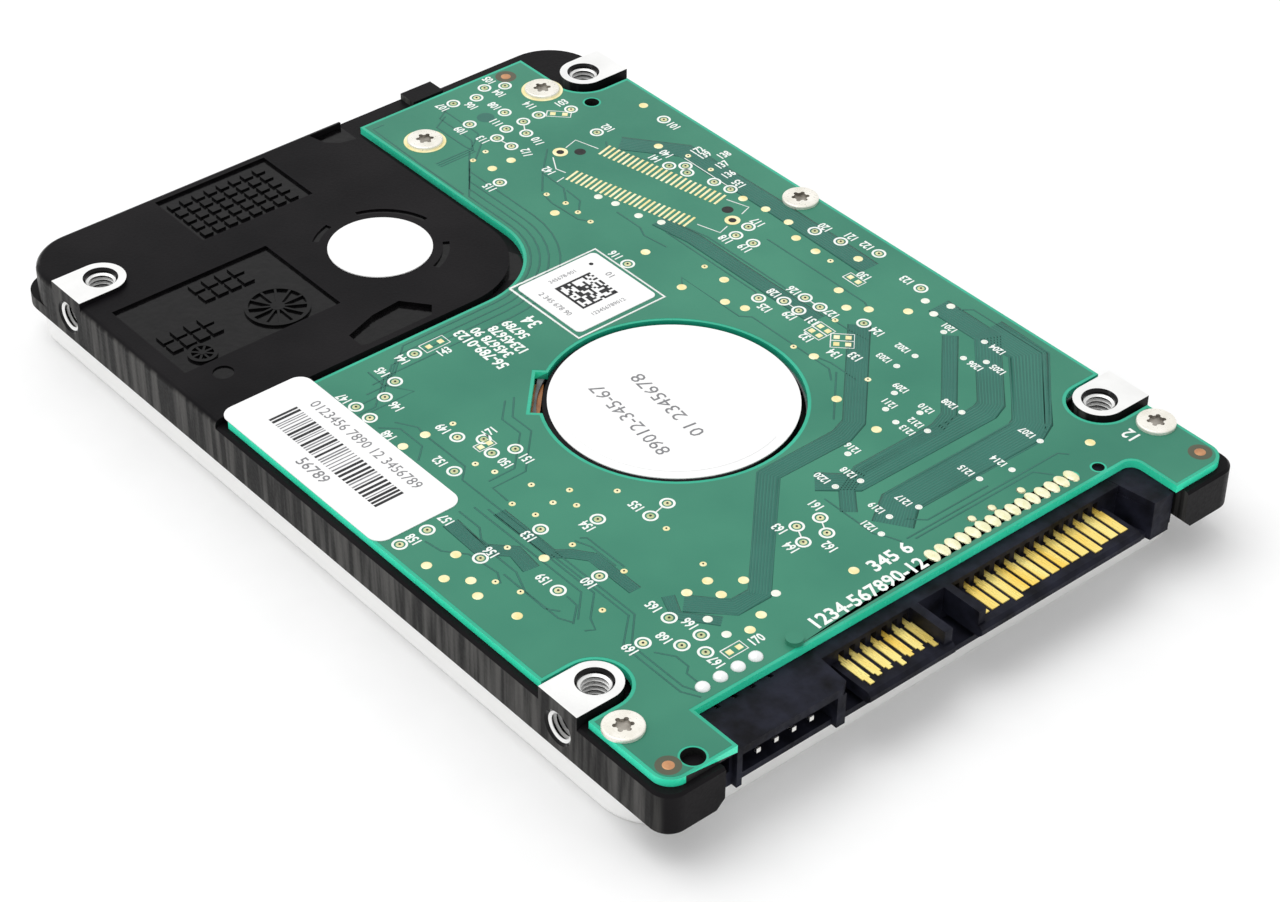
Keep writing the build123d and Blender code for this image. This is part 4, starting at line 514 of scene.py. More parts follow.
BUNDLES = [
    ([(12.6, 22.0), (23.6, 10.9), (24.4, 8.6), (24.4, -0.6), (36.2, -12.3), (36.2, -15.2), (33, -18.3)], 8, 0.27),
    ([(15.2, 30.2), (22, 30.2), (29.8, 22.8), (30.3, 21.4), (30.3, 4.8), (27.8, 2.0)], 9, 0.29),
    ([(19.5, 27.6), (28.4, 18.6), (29.2, 16.4), (29.2, 6.5), (30.6, 3.4), (33.0, 1.4)], 5, 0.29),
    ([(21.0, 31.2), (26.6, 31.2), (34.2, 23.8), (34.9, 22.2), (34.9, 6.0), (36.8, 3.2)], 13, 0.29),
    ([(-27.3, 25.0), (-21.8, 29.4), (-8.0, 29.6), (1.5, 29.5), (6.2, 29.4)], 8, 0.3),
    ([(-13.6, 18.6), (-8.8, 19.3), (1.6, 19.3), (9.4, 19.4)], 6, 0.3),
    ([(13.0, -22.9), (20.5, -22.9), (21.6, -21.6), (23.2, -20.4), (29.0, -20.4)], 5, 0.24),
    ([(11.4, -27.2), (16.0, -27.4), (18.2, -25.2), (21.0, -25.6)], 6, 0.26),
    ([(36.9, -17.3), (33.8, -19.8), (31.4, -18.7)], 4, 0.28),
]
for route, count, gap in BUNDLES:
    tracks += bundle(route, count, gap)

bpy.ops.object.select_all(action="DESELECT")
wires = bpy.data.curves.new("board_tracks", "CURVE")
wires.dimensions = "3D"
wires.bevel_depth = TRACK_WIDE / 2 * MM
wires.bevel_resolution = 1
for route in tracks:
    line = wires.splines.new("POLY")
    line.points.add(len(route) - 1)
    for point, (x, y) in zip(line.points, route):
        point.co = (x * MM, y * MM, 0, 1)
track_piece = bpy.data.objects.new("board_tracks", wires)
bpy.context.collection.objects.link(track_piece)
select_only(track_piece)
bpy.ops.object.convert(target="MESH")
track_piece.scale = (1, 1, TRACK_HIGH / (TRACK_WIDE * MM))
track_piece.location = (0, 0, FILL_TOP)
settle(track_piece, "board_tracks", track_green)

bpy.ops.object.select_all(action="DESELECT")
belts = bpy.data.curves.new("board_track_fields", "CURVE")
belts.dimensions = "3D"
belts.bevel_depth = MM / 2
belts.bevel_resolution = 2
belts.use_fill_caps = True
for route, count, gap in BUNDLES:
    line = belts.splines.new("POLY")
    line.points.add(len(route) - 1)
    for point, (x, y) in zip(line.points, route):
        point.co = (x * MM, y * MM, 0, 1)
        point.radius = (count + 0.6) * gap
belt_piece = bpy.data.objects.new("board_track_fields", belts)
bpy.context.collection.objects.link(belt_piece)
select_only(belt_piece)
bpy.ops.object.convert(target="MESH")
belt_piece.scale = (1, 1, BELT_FLAT)
belt_piece.location = (0, 0, FILL_TOP)
settle(belt_piece, "board_track_fields", belt_green)


# ---------------------------------------------------------------- gold test pads and vias
# Bare copper lands plated with gold: round test pads, small vias, and two rows of narrow
# pads for a connector that isn't fitted.
GOLD_HIGH = 0.035 * MM
pad_gold = finish("gold_plating", (0.88, 0.76, 0.34), (0.99, 0.93, 0.62), (0.25, 0.45), metallic=0.2,
                  patch=900, speck=4200, depth=0.3)
tin = finish("tinned_land", (0.80, 0.84, 0.72), (0.94, 0.95, 0.86), (0.25, 0.4), metallic=0.2,
             patch=1100, speck=4200, depth=0.4)
copper = finish("bare_copper", (0.40, 0.17, 0.075), (0.60, 0.30, 0.14), (0.3, 0.45), metallic=0.35,
                patch=900, speck=3600, depth=0.3)


def land(radius, sides=20, inner=0.0, high=GOLD_HIGH):
    """One round land in millimetres, or a ring where inner isn't 0, with softened edges."""
    bpy.ops.object.select_all(action="DESELECT")
    bpy.ops.mesh.primitive_circle_add(vertices=sides, radius=radius * MM, fill_type="NGON")
    bpy.ops.object.mode_set(mode="EDIT")
    if inner:
        bpy.ops.mesh.inset(thickness=(radius - inner) * MM, depth=0)
        bpy.ops.mesh.delete(type="FACE")
        bpy.ops.mesh.select_all(action="SELECT")
    bpy.ops.mesh.extrude_region_move(TRANSFORM_OT_translate={"value": (0, 0, high)})
    if not inner:
        bpy.ops.transform.resize(value=(0.86, 0.86, 1))
    bpy.ops.object.mode_set(mode="OBJECT")
    return bpy.context.object


def spread(model, places, low=FILL_TOP):
    """Copies a model to every place (x, y in millimetres, then a turn) and joins the copies."""
    copies = []
    for place in places:
        copy = model.copy()
        copy.data = model.data.copy()
        copy.location = (place[0] * MM, place[1] * MM, low)
        copy.rotation_euler = (0, 0, math.radians(place[2]) if len(place) > 2 else 0)
        bpy.context.collection.objects.link(copy)
        copies.append(copy)
    bpy.data.objects.remove(model)
    return join(copies)


TEST_PADS = [
    (-31.5, 31.85), (-24.3, 27.8), (-11.2, 28.05), (-8.25, 28.55), (-5.0, 28.75), (-2.4, 27.4), (0.6, 27.3),
    (4.3, 29.7), (14.0, 27.25), (7.05, 24.45), (11.3, 24.5), (9.7, 23.0), (-1.5, 16.9), (3.45, 15.25),
    (1.4, 14.45), (-10.15, 14.0), (-3.2, 12.8), (13.6, 15.05), (19.95, 12.1), (25.75, 11.75), (-32.0, 14.1),
    (-32.0, 11.6), (-21.4, 11.4), (-0.3, -21.15), (-0.2, -23.8), (20.55, -23.8), (15.2, -29.5),
    (18.85, -30.65), (14.75, -32.4), (17.15, -32.3), (20.85, -31.45), (25.1, -30.45), (39.2, -3.85),
    (34.0, -12.2), (32.05, -14.7), (34.2, -15.0), (38.4, -14.1), (32.1, -17.15), (39.25, -16.15), (39.8, 25.7),
]
PALE_PADS = [
    (-20.9, 16.75), (-18.8, 17.3), (-15.6, 17.7), (-13.2, 18.7), (16.05, 31.1), (13.8, 29.8), (15.9, 28.9),
    (35.9, -18.05), (38.4, -18.1), (37.1, -11.2),
]
VIAS = [
    (2.8, 27.3), (10.55, 20.7), (-4.45, 16.9), (11.2, 14.6), (19.6, 16.5), (-35.0, 13.05), (-24.6, 12.9),
    (-22.1, 13.4), (-20.0, 13.3), (-17.85, 13.2), (-20.9, 29.0), (-17.4, 29.1), (0.0, -18.15), (8.15, -19.6),
    (6.1, -20.25), (11.75, -18.2), (14.55, -16.0), (16.65, -16.9), (15.0, -18.3), (15.35, -20.6),
    (12.8, -21.25), (17.4, -12.75), (20.7, -20.7), (17.35, -25.4), (20.35, -29.1), (22.8, -28.25),
    (30.1, -13.5), (26.4, -19.5), (29.2, -24.3), (-34.5, 11.0), (24.3, -12.8),
]
SMALL_POINTS = [
    (18.7, 27.5), (19.75, 22.6), (19.8, 20.1), (22.36, 29.4), (24.8, 27.2), (22.95, 25.95), (36.7, 22.25),
    (28.95, 19.75), (22.75, 16.95), (26.5, 16.65), (24.05, 14.55), (28.95, 15.25), (26.1, 13.9),
    (38.05, 17.15), (37.1, 13.9), (26.75, 7.15), (36.5, 6.75), (30.4, 5.3), (35.8, 3.75), (29.55, 2.95),
    (37.1, 1.5),
]
RING_POINTS = [
    (-27.94, 31.67), (-30.5, 24.5), (-35.8, 25.3), (-44.06, 22.8), (-45.1, 20.8), (-44.06, 18.9), (-44.7, 16.25),
    (-39.8, 19.4), (-40.3, 15.05), (-37.1, 19.8), (-35.1, 18.6), (-37.1, 17.5), (-36.3, 15.6), (-34.1, 15.8),
    (-37.1, 21.9), (-29.4, 10.55), (-9.67, 11.25), (-6.95, 25.0), (-6.6, 23.0), (-4.45, 23.4), (-2.1, 29.7),
    (0.95, 30.45), (4.95, 31.95), (12.0, 30.95), (12.7, 22.5), (3.05, 17.4), (5.9, 21.0), (8.0, 21.05),
    (5.0, 19.0), (7.1, 19.05), (-19.6, 27.5), (-20.7, 26.2), (-18.5, 26.8), (-15.4, 27.8), (-13.3, 28.2),
    (-11.05, -14.3), (-8.65, -18.4), (-7.3, -20.6), (-7.8, -23.6), (-5.6, -23.6), (1.9, -19.1), (5.8, -18.1),
    (3.7, -17.4), (6.7, -16.05), (5.75, -22.4), (17.25, -21.55), (19.4, -16.7), (21.65, -10.4), (22.05, -12.75),
    (17.0, -28.15), (10.9, -29.4), (10.95, -32.5), (24.75, -25.6), (25.55, -21.6), (31.95, -1.15), (33.9, -2.15),
    (31.5, -3.6), (33.5, -4.65), (33.65, -20.5), (37.1, -19.85), (39.0, -21.0), (37.05, -22.0), (34.7, -24.35),
]
ring_gold = finish("thin_gold", (0.42, 0.50, 0.24), (0.86, 0.80, 0.48), (0.3, 0.45), metallic=0.2, patch=700,
                   speck=4200, depth=0.3)
settle(spread(land(0.5), TEST_PADS), "test_pads", pad_gold)
settle(spread(land(0.45), PALE_PADS), "pale_pads", tin)
settle(spread(land(0.33, 16), VIAS), "via_lands", pad_gold)
settle(spread(land(0.1, 10), [(x, y) for x, y in VIAS], FILL_TOP + GOLD_HIGH * 0.9), "via_holes",
       hole_black)
settle(spread(land(0.22, 12), SMALL_POINTS), "point_lands", tin)
settle(spread(land(0.37, 16), RING_POINTS), "ringed_lands", ring_gold)
settle(spread(land(0.13, 10), RING_POINTS, FILL_TOP + GOLD_HIGH * 0.9), "ringed_holes", hole_black)

ROW_TURN = 14.4
ROW_PADS = 25
ROWS = [((-27.30, 22.95), (-12.55, 26.10), 2.1), ((-25.70, 17.20), (-11.45, 20.95), 2.0)]
fingers = []
for first, last, long_side in ROWS:
    for index in range(ROW_PADS):
        share = index / (ROW_PADS - 1)
        fingers.append((first[0] + (last[0] - first[0]) * share, first[1] + (last[1] - first[1]) * share,
                        ROW_TURN))


def slab(wide, long_side, high):
    """A small rectangular land with softened upper edges."""
    bpy.ops.object.select_all(action="DESELECT")
    bpy.ops.mesh.primitive_plane_add(size=1)
    piece = bpy.context.object
    piece.scale = (wide * MM, long_side * MM, 1)
    bpy.ops.object.transform_apply(location=False, rotation=False, scale=True)
    bpy.ops.object.mode_set(mode="EDIT")
    bpy.ops.mesh.extrude_region_move(TRANSFORM_OT_translate={"value": (0, 0, high)})
    bpy.ops.transform.resize(value=(0.9, 0.96, 1))
    bpy.ops.object.mode_set(mode="OBJECT")
    return piece


settle(spread(slab(0.27, 2.05, GOLD_HIGH), fingers), "spare_connector_pads", pad_gold)
settle(spread(land(0.82, 28, 0.42), [(-29.93, 19.04), (-8.86, 24.53)]), "spare_connector_rings", pad_gold)
PEG_HOLES = [(-28.69, 20.72), (-10.65, 25.45)]
settle(spread(land(0.62, 28, 0, 0.006 * MM), PEG_HOLES), "spare_connector_holes", hole_black)
settle(spread(land(0.42, 24, 0, 0.008 * MM), [(-29.93, 19.04), (-8.86, 24.53)]), "spare_ring_holes",
       hole_black)
settle(spread(land(0.95, 28, 0, 0.006 * MM), [(-40.3, 17.2)]), "covered_hole", track_green)
SCREW_LANDS = [(-40.8, 25.34), (-40.63, 9.35)]
settle(spread(land(2.25, 44, 1.7, 0.03 * MM), SCREW_LANDS), "screw_lands", pad_gold)
CORNER_MARKS = [(-45.52, 24.07), (47.27, 32.51), (47.45, -32.45)]
settle(spread(land(1.15, 32, 0, 0.004 * MM), CORNER_MARKS), "corner_mark_clearings", finish(
    "bare_laminate", (0.045, 0.075, 0.042), (0.10, 0.085, 0.05), (0.4, 0.5), depth=0.1))
settle(spread(land(0.55, 24, 0, 0.03 * MM), CORNER_MARKS), "corner_marks", copper)


# ---------------------------------------------------------------- white legend
# White ink printed on the mask: rings round the test points, outlines round small parts, and
# short plain numbers beside them.
INK = 0.022 * MM
ink_white = finish("white_legend", (0.80, 0.84, 0.80), (0.93, 0.95, 0.92), (0.45, 0.6), patch=1500, speck=5000,
                   depth=0.2, gloss=0.35)
settle(spread(land(0.75, 24, 0.53, INK), RING_POINTS), "legend_rings", ink_white)
settle(spread(land(0.34, 14, 0.23, INK), SMALL_POINTS), "legend_small_rings", ink_white)


def printed(lines, name, wide=0.16):
    """Straight printed strokes along routes of points in millimetres."""
    strokes = bpy.data.curves.new(name, "CURVE")
    strokes.dimensions = "3D"
    strokes.bevel_depth = wide / 2 * MM
    strokes.bevel_resolution = 0
    strokes.use_fill_caps = True
    for points in lines:
        stroke = strokes.splines.new("POLY")
        stroke.points.add(len(points) - 1)
        for spot, (x, y) in zip(stroke.points, points):
            spot.co = (x * MM, y * MM, 0, 1)
    piece = bpy.data.objects.new(name, strokes)
    bpy.context.collection.objects.link(piece)
    select_only(piece)
    bpy.ops.object.convert(target="MESH")
    piece.scale = (1, 1, INK / (wide / 2 * MM))
    piece.location = (0, 0, FILL_TOP)
    return piece


def frame_lines(x, y, wide, tall, turn=0):
    """The four corners of a turned rectangle, closed."""
    angle = math.radians(turn)
    corners = [(-wide / 2, -tall / 2), (wide / 2, -tall / 2), (wide / 2, tall / 2), (-wide / 2, tall / 2)]
    corners.append(corners[0])
    return [(x + a * math.cos(angle) - b * math.sin(angle), y + a * math.sin(angle) + b * math.cos(angle))
            for a, b in corners]


SMALL_PARTS = [
    (6.7, 26.9, 2.2, 1.15, 0), (10.9, 18.9, 2.1, 1.1, 0), (10.9, 17.75, 2.1, 1.1, 0), (13.1, 19.3, 1.15, 2.3, -45),
    (13.9, 18.5, 1.15, 2.3, -45), (-11.1, -11.85, 1.4, 2.8, 0), (40.3, -18.9, 1.2, 2.2, 0),
    (-35.9, 23.7, 1.1, 2.6, -45), (4.45, -17.85, 1.0, 2.0, 0),
]
outlines = [frame_lines(*part) for part in SMALL_PARTS]
outlines += [
    [(-29.64, 17.83), (-27.72, 16.69), (-26.52, 17.01)], [(-30.25, 20.06), (-30.77, 21.80), (-27.92, 22.59)],
    [(-12.13, 26.62), (-9.61, 27.46), (-9.13, 26.05)], [(-10.61, 21.29), (-7.99, 22.09), (-8.39, 23.41)],
    [(-25.95, 16.3), (-25.75, 15.2)], [(-36.5, 19.4), (-35.7, 18.9)], [(-35.6, 15.65), (-34.8, 15.75)],
    [(6.65, 21.02), (7.25, 21.02)], [(5.75, 19.02), (6.35, 19.02)], [(32.6, -1.5), (33.25, -1.85)],
    [(32.15, -3.95), (32.85, -4.3)], [(21.75, -11.15), (21.95, -12.0)], [(-20.8, 28.4), (-13.9, 28.4)],
]
CODE_FRAME = (-8.4, 4.97, 10.75, 10.95, 0)
settle(join([printed(outlines, "legend_lines"), printed([frame_lines(*CODE_FRAME)], "code_frame", 0.34)]),
       "legend_outlines", ink_white)
lands = []
for x, y, wide, tall, turn in SMALL_PARTS:
    reach = max(wide, tall) * 0.25
    angle = math.radians(turn + (90 if tall > wide else 0))
    for side in (-1, 1):
        lands.append((x + side * reach * math.cos(angle), y + side * reach * math.sin(angle), turn))
settle(spread(slab(0.6, 0.6, GOLD_HIGH), lands), "small_part_lands", pad_gold)


def number(text, tall, x, y, turn, low, high=INK, squeeze=0.82, weight=0.035):
    """A plain printed number, centred on its place."""
    bpy.ops.object.select_all(action="DESELECT")
    bpy.ops.object.text_add(location=(x * MM, y * MM, low), rotation=(0, 0, math.radians(turn)))
    piece = bpy.context.object
    piece.data.body = text
    piece.data.size = tall / 0.7 * MM
    piece.data.align_x = "CENTER"
    piece.data.align_y = "CENTER"
    piece.data.extrude = high
    piece.data.offset = weight * MM
    piece.data.resolution_u = 2
    piece.scale = (squeeze, 1, 1)
    bpy.ops.object.convert(target="MESH")
    return bpy.context.object


NUMBER_PLACES = [
    (-26.3, 31.7, 180), (-30.4, 26.0, 180), (-37.4, 25.3, 90), (-43.2, 21.4, 180), (-46.0, 22.2, 180),
    (-43.1, 17.5, 180), (-44.75, 14.9, 180), (-41.5, 19.4, 180), (-39.9, 13.6, 180), (-33.1, 18.6, 170),
    (-38.8, 17.5, 180), (-32.1, 16.3, 160), (-37.0, 14.3, 180), (-39.2, 22.4, 180), (-29.3, 9.2, 180),
    (-11.6, 11.35, 180), (-6.9, 26.3, 180), (-6.7, 21.75, 180), (-4.3, 22.2, 180), (-1.9, 31.0, 180),
    (1.0, 31.9, 180), (3.2, 32.0, 180), (10.1, 30.9, 180), (14.6, 22.55, 180), (4.7, 16.8, 180), (4.3, 21.0, 180),
    (9.6, 21.2, 180), (3.4, 19.2, 180), (7.2, 17.8, 180), (6.9, 28.1, 180), (9.2, 18.9, 180), (10.9, 16.6, 180),
    (16.2, 18.1, 180), (14.6, 16.9, 180), (-13.5, 29.6, 180), (-15.5, 29.9, 90), (-17.3, 30.6, 90),
    (-18.6, 32.0, 90), (-19.9, 30.4, 90), (-22.6, 27.5, 180), (-22.7, 26.0, 180), (-27.9, 15.9, 180),
    (-9.5, -11.9, 90), (-11.0, -15.7, 180), (-10.6, -18.4, 180), (-5.4, -20.6, 180), (-9.5, -23.7, 180),
    (-2.3, -23.8, 180), (0.1, -19.3, 180), (7.8, -18.0, 180), (8.5, -16.1, 180), (3.8, -22.5, 180),
    (17.35, -22.95, 180), (19.6, -18.0, 180), (20.2, -12.8, 180), (17.0, -26.9, 180), (10.9, -27.2, 180),
    (11.2, -31.1, 180), (22.8, -25.6, 180), (25.7, -22.9, 180), (30.4, -0.2, 180), (35.5, -3.25, 180),
    (30.8, -5.0, 180), (33.4, -5.95, 180), (31.7, -20.55, 180), (35.4, -19.6, 180), (40.6, -21.1, 180),
    (35.4, -22.5, 180), (34.65, -25.7, 180), (40.6, -16.6, 90), (3.2, -16.3, 90), (-21.0, 30.4, 90),
]
POINT_NUMBER_PLACES = [
    (18.55, 28.45), (18.1, 22.6), (18.1, 20.1), (24.1, 29.5), (26.4, 27.2), (24.6, 25.95), (35.1, 22.25),
    (27.35, 19.8), (22.6, 18.0), (26.45, 17.6), (23.65, 15.5), (27.4, 15.3), (27.7, 13.9), (36.4, 17.15),
    (35.5, 13.85), (26.45, 8.1), (35.0, 6.4), (28.85, 5.3), (34.2, 3.75), (27.9, 2.9), (35.6, 1.45),
]
numbers = []
for index, (x, y, turn) in enumerate(NUMBER_PLACES):
    numbers.append(number(str(101 + index), 1.0, x, y, turn, FILL_TOP, squeeze=0.72))
for index, (x, y) in enumerate(POINT_NUMBER_PLACES):
    numbers.append(number(str(1201 + index), 0.8, x, y, 180, FILL_TOP, squeeze=0.78, weight=0.03))
numbers.append(number("12", 1.45, 41.5, 29.5, 180, FILL_TOP))
numbers.append(number("1234-567890-12", 1.5, 42.25, -5.0, 90, FILL_TOP, squeeze=0.96, weight=0.05))
numbers.append(number("345 6", 1.5, 39.95, -0.1, 90, FILL_TOP, squeeze=1.0, weight=0.05))
for text, x, y, tall in (("34", -8.0, -2.3, 1.5), ("56789", -8.0, -4.3, 1.1), ("12345678", -7.1, -5.9, 1.1),
                         ("345678 90", -7.8, -7.4, 1.1), ("56-789-0123", -7.6, -8.9, 1.2)):
    numbers.append(number(text, tall, x, y, 180, FILL_TOP, squeeze=0.86, weight=0.045))
settle(join(numbers), "legend_numbers", ink_white)


# ---------------------------------------------------------------- solder joints
# Domes of solder on the connector's tails, which stand in one close row, and four rounder
# ones on the jumper pins.
solder = finish("solder", (0.80, 0.78, 0.44), (0.95, 0.93, 0.68), (0.2, 0.36), metallic=0.15, patch=1300,
                speck=3000, depth=0.5)
solder_white = finish("solder_bright", (0.86, 0.88, 0.88), (0.96, 0.97, 0.97), (0.15, 0.28), metallic=0.2,
                      patch=1300, speck=3000, depth=0.4)


def dome(wide, long_side, high):
    """A drop of solder: the upper half of a flattened ball."""
    bpy.ops.object.select_all(action="DESELECT")
    bpy.ops.mesh.primitive_uv_sphere_add(segments=20, ring_count=12, radius=0.5)
    piece = bpy.context.object
    piece.scale = (wide * MM, long_side * MM, 2 * high * MM)
    bpy.ops.object.transform_apply(location=False, rotation=False, scale=True)
    bpy.ops.object.mode_set(mode="EDIT")
    bpy.ops.mesh.bisect(plane_co=(0, 0, 0), plane_no=(0, 0, 1), clear_inner=True, use_fill=True)
    bpy.ops.object.mode_set(mode="OBJECT")
    bpy.ops.object.shade_smooth_by_angle(angle=math.radians(60))
    return piece


first_tail, tail_step, tails = 3.05, 1.27, 15
joints = [(42.15, first_tail + tail_step * index - 0.15) for index in range(tails)]
settle(spread(dome(1.82, 1.22, 0.2), joints), "power_solder", solder)
settle(spread(dome(0.95, 0.85, 0.16), [(40.75, 9.25), (40.8, 11.75), (40.7, 15.6)]), "side_solder", solder)
JUMPER_TAILS = [(42.15, -24.1), (42.15, -22.1), (42.15, -20.1), (42.15, -18.1)]
settle(spread(dome(1.35, 1.35, 0.42), JUMPER_TAILS), "jumper_solder", solder_white)


# ---------------------------------------------------------------- labels
# Matt paper stickers: a round one over the motor with a second layer on its lower half, a
# round seal over the pivot, a wide one with bars, and a small square one with a dot code.
PAPER_INK = 0.01 * MM
paper = finish("white_paper", (0.86, 0.86, 0.86), (0.91, 0.91, 0.905), (0.5, 0.62), patch=60, speck=2600,
               depth=0.08, gloss=0.3)
ink_black = finish("black_ink", (0.012, 0.012, 0.014), (0.03, 0.03, 0.032), (0.5, 0.65), patch=1200, speck=4000,
                   depth=0.1, gloss=0.3)
ink_grey = finish("grey_ink", (0.16, 0.16, 0.17), (0.26, 0.26, 0.27), (0.5, 0.65), patch=1200, speck=4000,
                  depth=0.1, gloss=0.3)
coat_nodes(paper, "motor_label", "pivot_seal_label", "barcode_label", "code_label")

motor_low, motor_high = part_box("motor_label")
motor_at = (motor_low + motor_high) / 2
layer_r = (motor_high.x - motor_low.x) / 2 - 1.0 * MM
bpy.ops.object.select_all(action="DESELECT")
bpy.ops.mesh.primitive_circle_add(vertices=96, radius=layer_r, fill_type="NGON",
                                  location=(motor_at.x, motor_at.y, motor_high.z))
layer = bpy.context.object
bpy.ops.object.mode_set(mode="EDIT")
bpy.ops.mesh.bisect(plane_co=(motor_at.x, motor_at.y + 4.2 * MM, motor_high.z), plane_no=(0.06, 1, 0),
                    clear_outer=True)
bpy.ops.mesh.select_all(action="SELECT")
bpy.ops.mesh.extrude_region_move(TRANSFORM_OT_translate={"value": (0, 0, 0.05 * MM)})
bpy.ops.object.mode_set(mode="OBJECT")
settle(layer, "motor_label_layer", paper)
LAYER_TOP = motor_high.z + 0.05 * MM
marks = [
    number("01 2345678", 1.45, 10.4, -0.7, 173, LAYER_TOP, PAPER_INK, 1.12, 0.0),
    number("89012-345-67", 1.45, 9.9, -4.9, 173, LAYER_TOP, PAPER_INK, 1.05, 0.0),
]
settle(join(marks), "motor_label_numbers", ink_grey)

bar_low, bar_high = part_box("barcode_label")
bar_x, bar_y = (bar_low.x + bar_high.x) / 2 / MM, (bar_low.y + bar_high.y) / 2 / MM
rng = random.Random(7)
dark_bars, thin_bars = [], []
reach = -8.6
while reach < 8.2:
    wide = rng.choice((0.14, 0.2, 0.3, 0.34))
    (dark_bars if wide > 0.25 else thin_bars).append((bar_x + reach + wide / 2, wide))
    reach += wide + rng.choice((0.16, 0.22, 0.3))
BAR_TALL = 3.2


def bars(rows, name):
    """Upright printed bars side by side."""
    pieces = []
    for x, wide in rows:
        piece = slab(wide, BAR_TALL, PAPER_INK)
        piece.location = (x * MM, (bar_y - 0.25) * MM, bar_high.z)
        pieces.append(piece)
    return join(pieces)


settle(bars(dark_bars, "bars"), "label_bars", ink_black)
settle(bars(thin_bars, "thin_bars"), "label_thin_bars", ink_grey)
marks = [number("56789", 1.2, bar_x + 0.2, bar_y - 3.1, 0, bar_high.z, PAPER_INK, 1.0, 0.01),
         number("0123456 7890 12 3456789", 1.15, bar_x + 0.1, bar_y + 2.9, 0, bar_high.z, PAPER_INK, 0.93, 0.0)]
settle(join(marks), "label_numbers", ink_grey)

code_low, code_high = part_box("code_label")
code_at = (code_low + code_high) / 2
CODE_CELLS = 16
CELL = 0.28
cells = []
for row in range(CODE_CELLS):
    for column in range(CODE_CELLS):
        solid_edge = column == 0 or row == 0
        timing_edge = (row == CODE_CELLS - 1 and column % 2 == 0) or (column == CODE_CELLS - 1 and row % 2 == 0)
        if solid_edge or timing_edge or rng.random() < 0.46:
            cells.append((code_at.x / MM + (column - 7.5) * CELL - 0.15, code_at.y / MM + (row - 7.5) * CELL + 0.1))
settle(spread(slab(CELL, CELL, PAPER_INK), cells, code_high.z), "label_code_cells", ink_black)
marks = [number("01", 0.75, code_at.x / MM - 0.7, code_at.y / MM + 3.6, 0, code_high.z, PAPER_INK, 1, 0),
         number("2 345 678 90", 0.62, code_at.x / MM - 0.3, code_at.y / MM - 3.75, 0, code_high.z, PAPER_INK, 1, 0),
         number("123456789012", 0.5, code_at.x / MM + 3.35, code_at.y / MM, 90, code_high.z, PAPER_INK, 1, 0),
         number("345678-901", 0.5, code_at.x / MM - 3.45, code_at.y / MM - 0.2, 90, code_high.z, PAPER_INK, 1, 0)]
settle(join(marks), "code_label_numbers", ink_grey)
spot = spread(land(0.24, 20, 0, PAPER_INK), [(code_at.x / MM - 3.4, code_at.y / MM + 3.4)], code_high.z)
settle(spot, "code_label_spot", ink_black)


# ---------------------------------------------------------------- screws
# Low-headed steel screws with a dull nickel plating. The faces inside their six-lobed sockets are coloured darker.
SCREWS = [*SCREW_LANDS, (-7.3, 32.495), (41.7, 32.625), (41.7, -32.425)]
nickel = finish("nickel_plate", (0.82, 0.79, 0.70), (0.96, 0.93, 0.86), (0.24, 0.42), metallic=0.45, patch=700,
                speck=3600, depth=0.35)
coat_nodes(nickel, "board_screws", "cover_screws", "pivot_screw", "clamp_screws", "ramp_screw")
socket_dark = finish("socket_steel", (0.20, 0.18, 0.15), (0.46, 0.43, 0.38), (0.4, 0.55), metallic=0.5, patch=900,
                     speck=3600, depth=0.3)
screw_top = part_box("board_screws")[1].z
nodes["board_screws"].data.materials.append(socket_dark)
for face in nodes["board_screws"].data.polygons:
    if screw_top - 0.7 * MM < face.center.z < screw_top - 0.05 * MM and any(
        math.hypot(face.center.x - x * MM, face.center.y - y * MM) < 1.05 * MM for x, y in SCREWS
    ):
        face.material_index = 1


# ---------------------------------------------------------------- connector
# One black moulding of glass-filled liquid crystal polymer with faint flow marks, gold-plated
# blades on its two tongues and four tinned pins for a jumper.
moulding = finish("black_polymer", (0.004, 0.004, 0.006), (0.016, 0.017, 0.028), (0.38, 0.6), patch=420,
                  speck=1800, depth=0.35, gloss=0.09)
blade_gold = finish("blade_gold", (0.98, 0.66, 0.10), (1.0, 0.86, 0.30), (0.2, 0.34), metallic=0.35, patch=500,
                    speck=3800, depth=0.12, stretch=(0.3, 1, 1))
pin_metal = finish("pin_tin", (0.72, 0.71, 0.68), (0.86, 0.85, 0.82), (0.2, 0.32), metallic=1.0, patch=700,
                   speck=3200, depth=0.15)
coat_nodes(moulding, "plug_housing", "head_connector", "motor_connector")
coat_nodes(blade_gold, "signal_contacts", "power_contacts")
coat_nodes(pin_metal, "jumper_pins")


# ---------------------------------------------------------------- cover
# A shallow tray pressed from aluminium sheet, with a fine rolling grain under a clear
# lacquer, on a black foam gasket. A silver paper label fills its recess.
cover_silver = finish("rolled_aluminium", (0.88, 0.88, 0.87), (0.95, 0.95, 0.94), (0.32, 0.46), metallic=0.4,
                      patch=60, speck=2200, depth=0.12, stretch=(0.05, 1, 1), gloss=0.5)
gasket = finish("foam_rubber", (0.018, 0.018, 0.018), (0.04, 0.04, 0.04), (0.75, 0.9), patch=500, speck=3200,
                depth=0.6)
label_silver = finish("silver_paper", (0.72, 0.72, 0.71), (0.80, 0.80, 0.79), (0.4, 0.5), metallic=0.2, patch=50,
                      speck=2400, depth=0.06)
coat_nodes(cover_silver, "top_cover")
coat_nodes(gasket, "cover_gasket", "crash_stops")
coat_nodes(label_silver, "cover_label")
label_low, label_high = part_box("cover_label")
label_mid = (label_low + label_high) / 2
UNDER = label_low.z
ruled = []
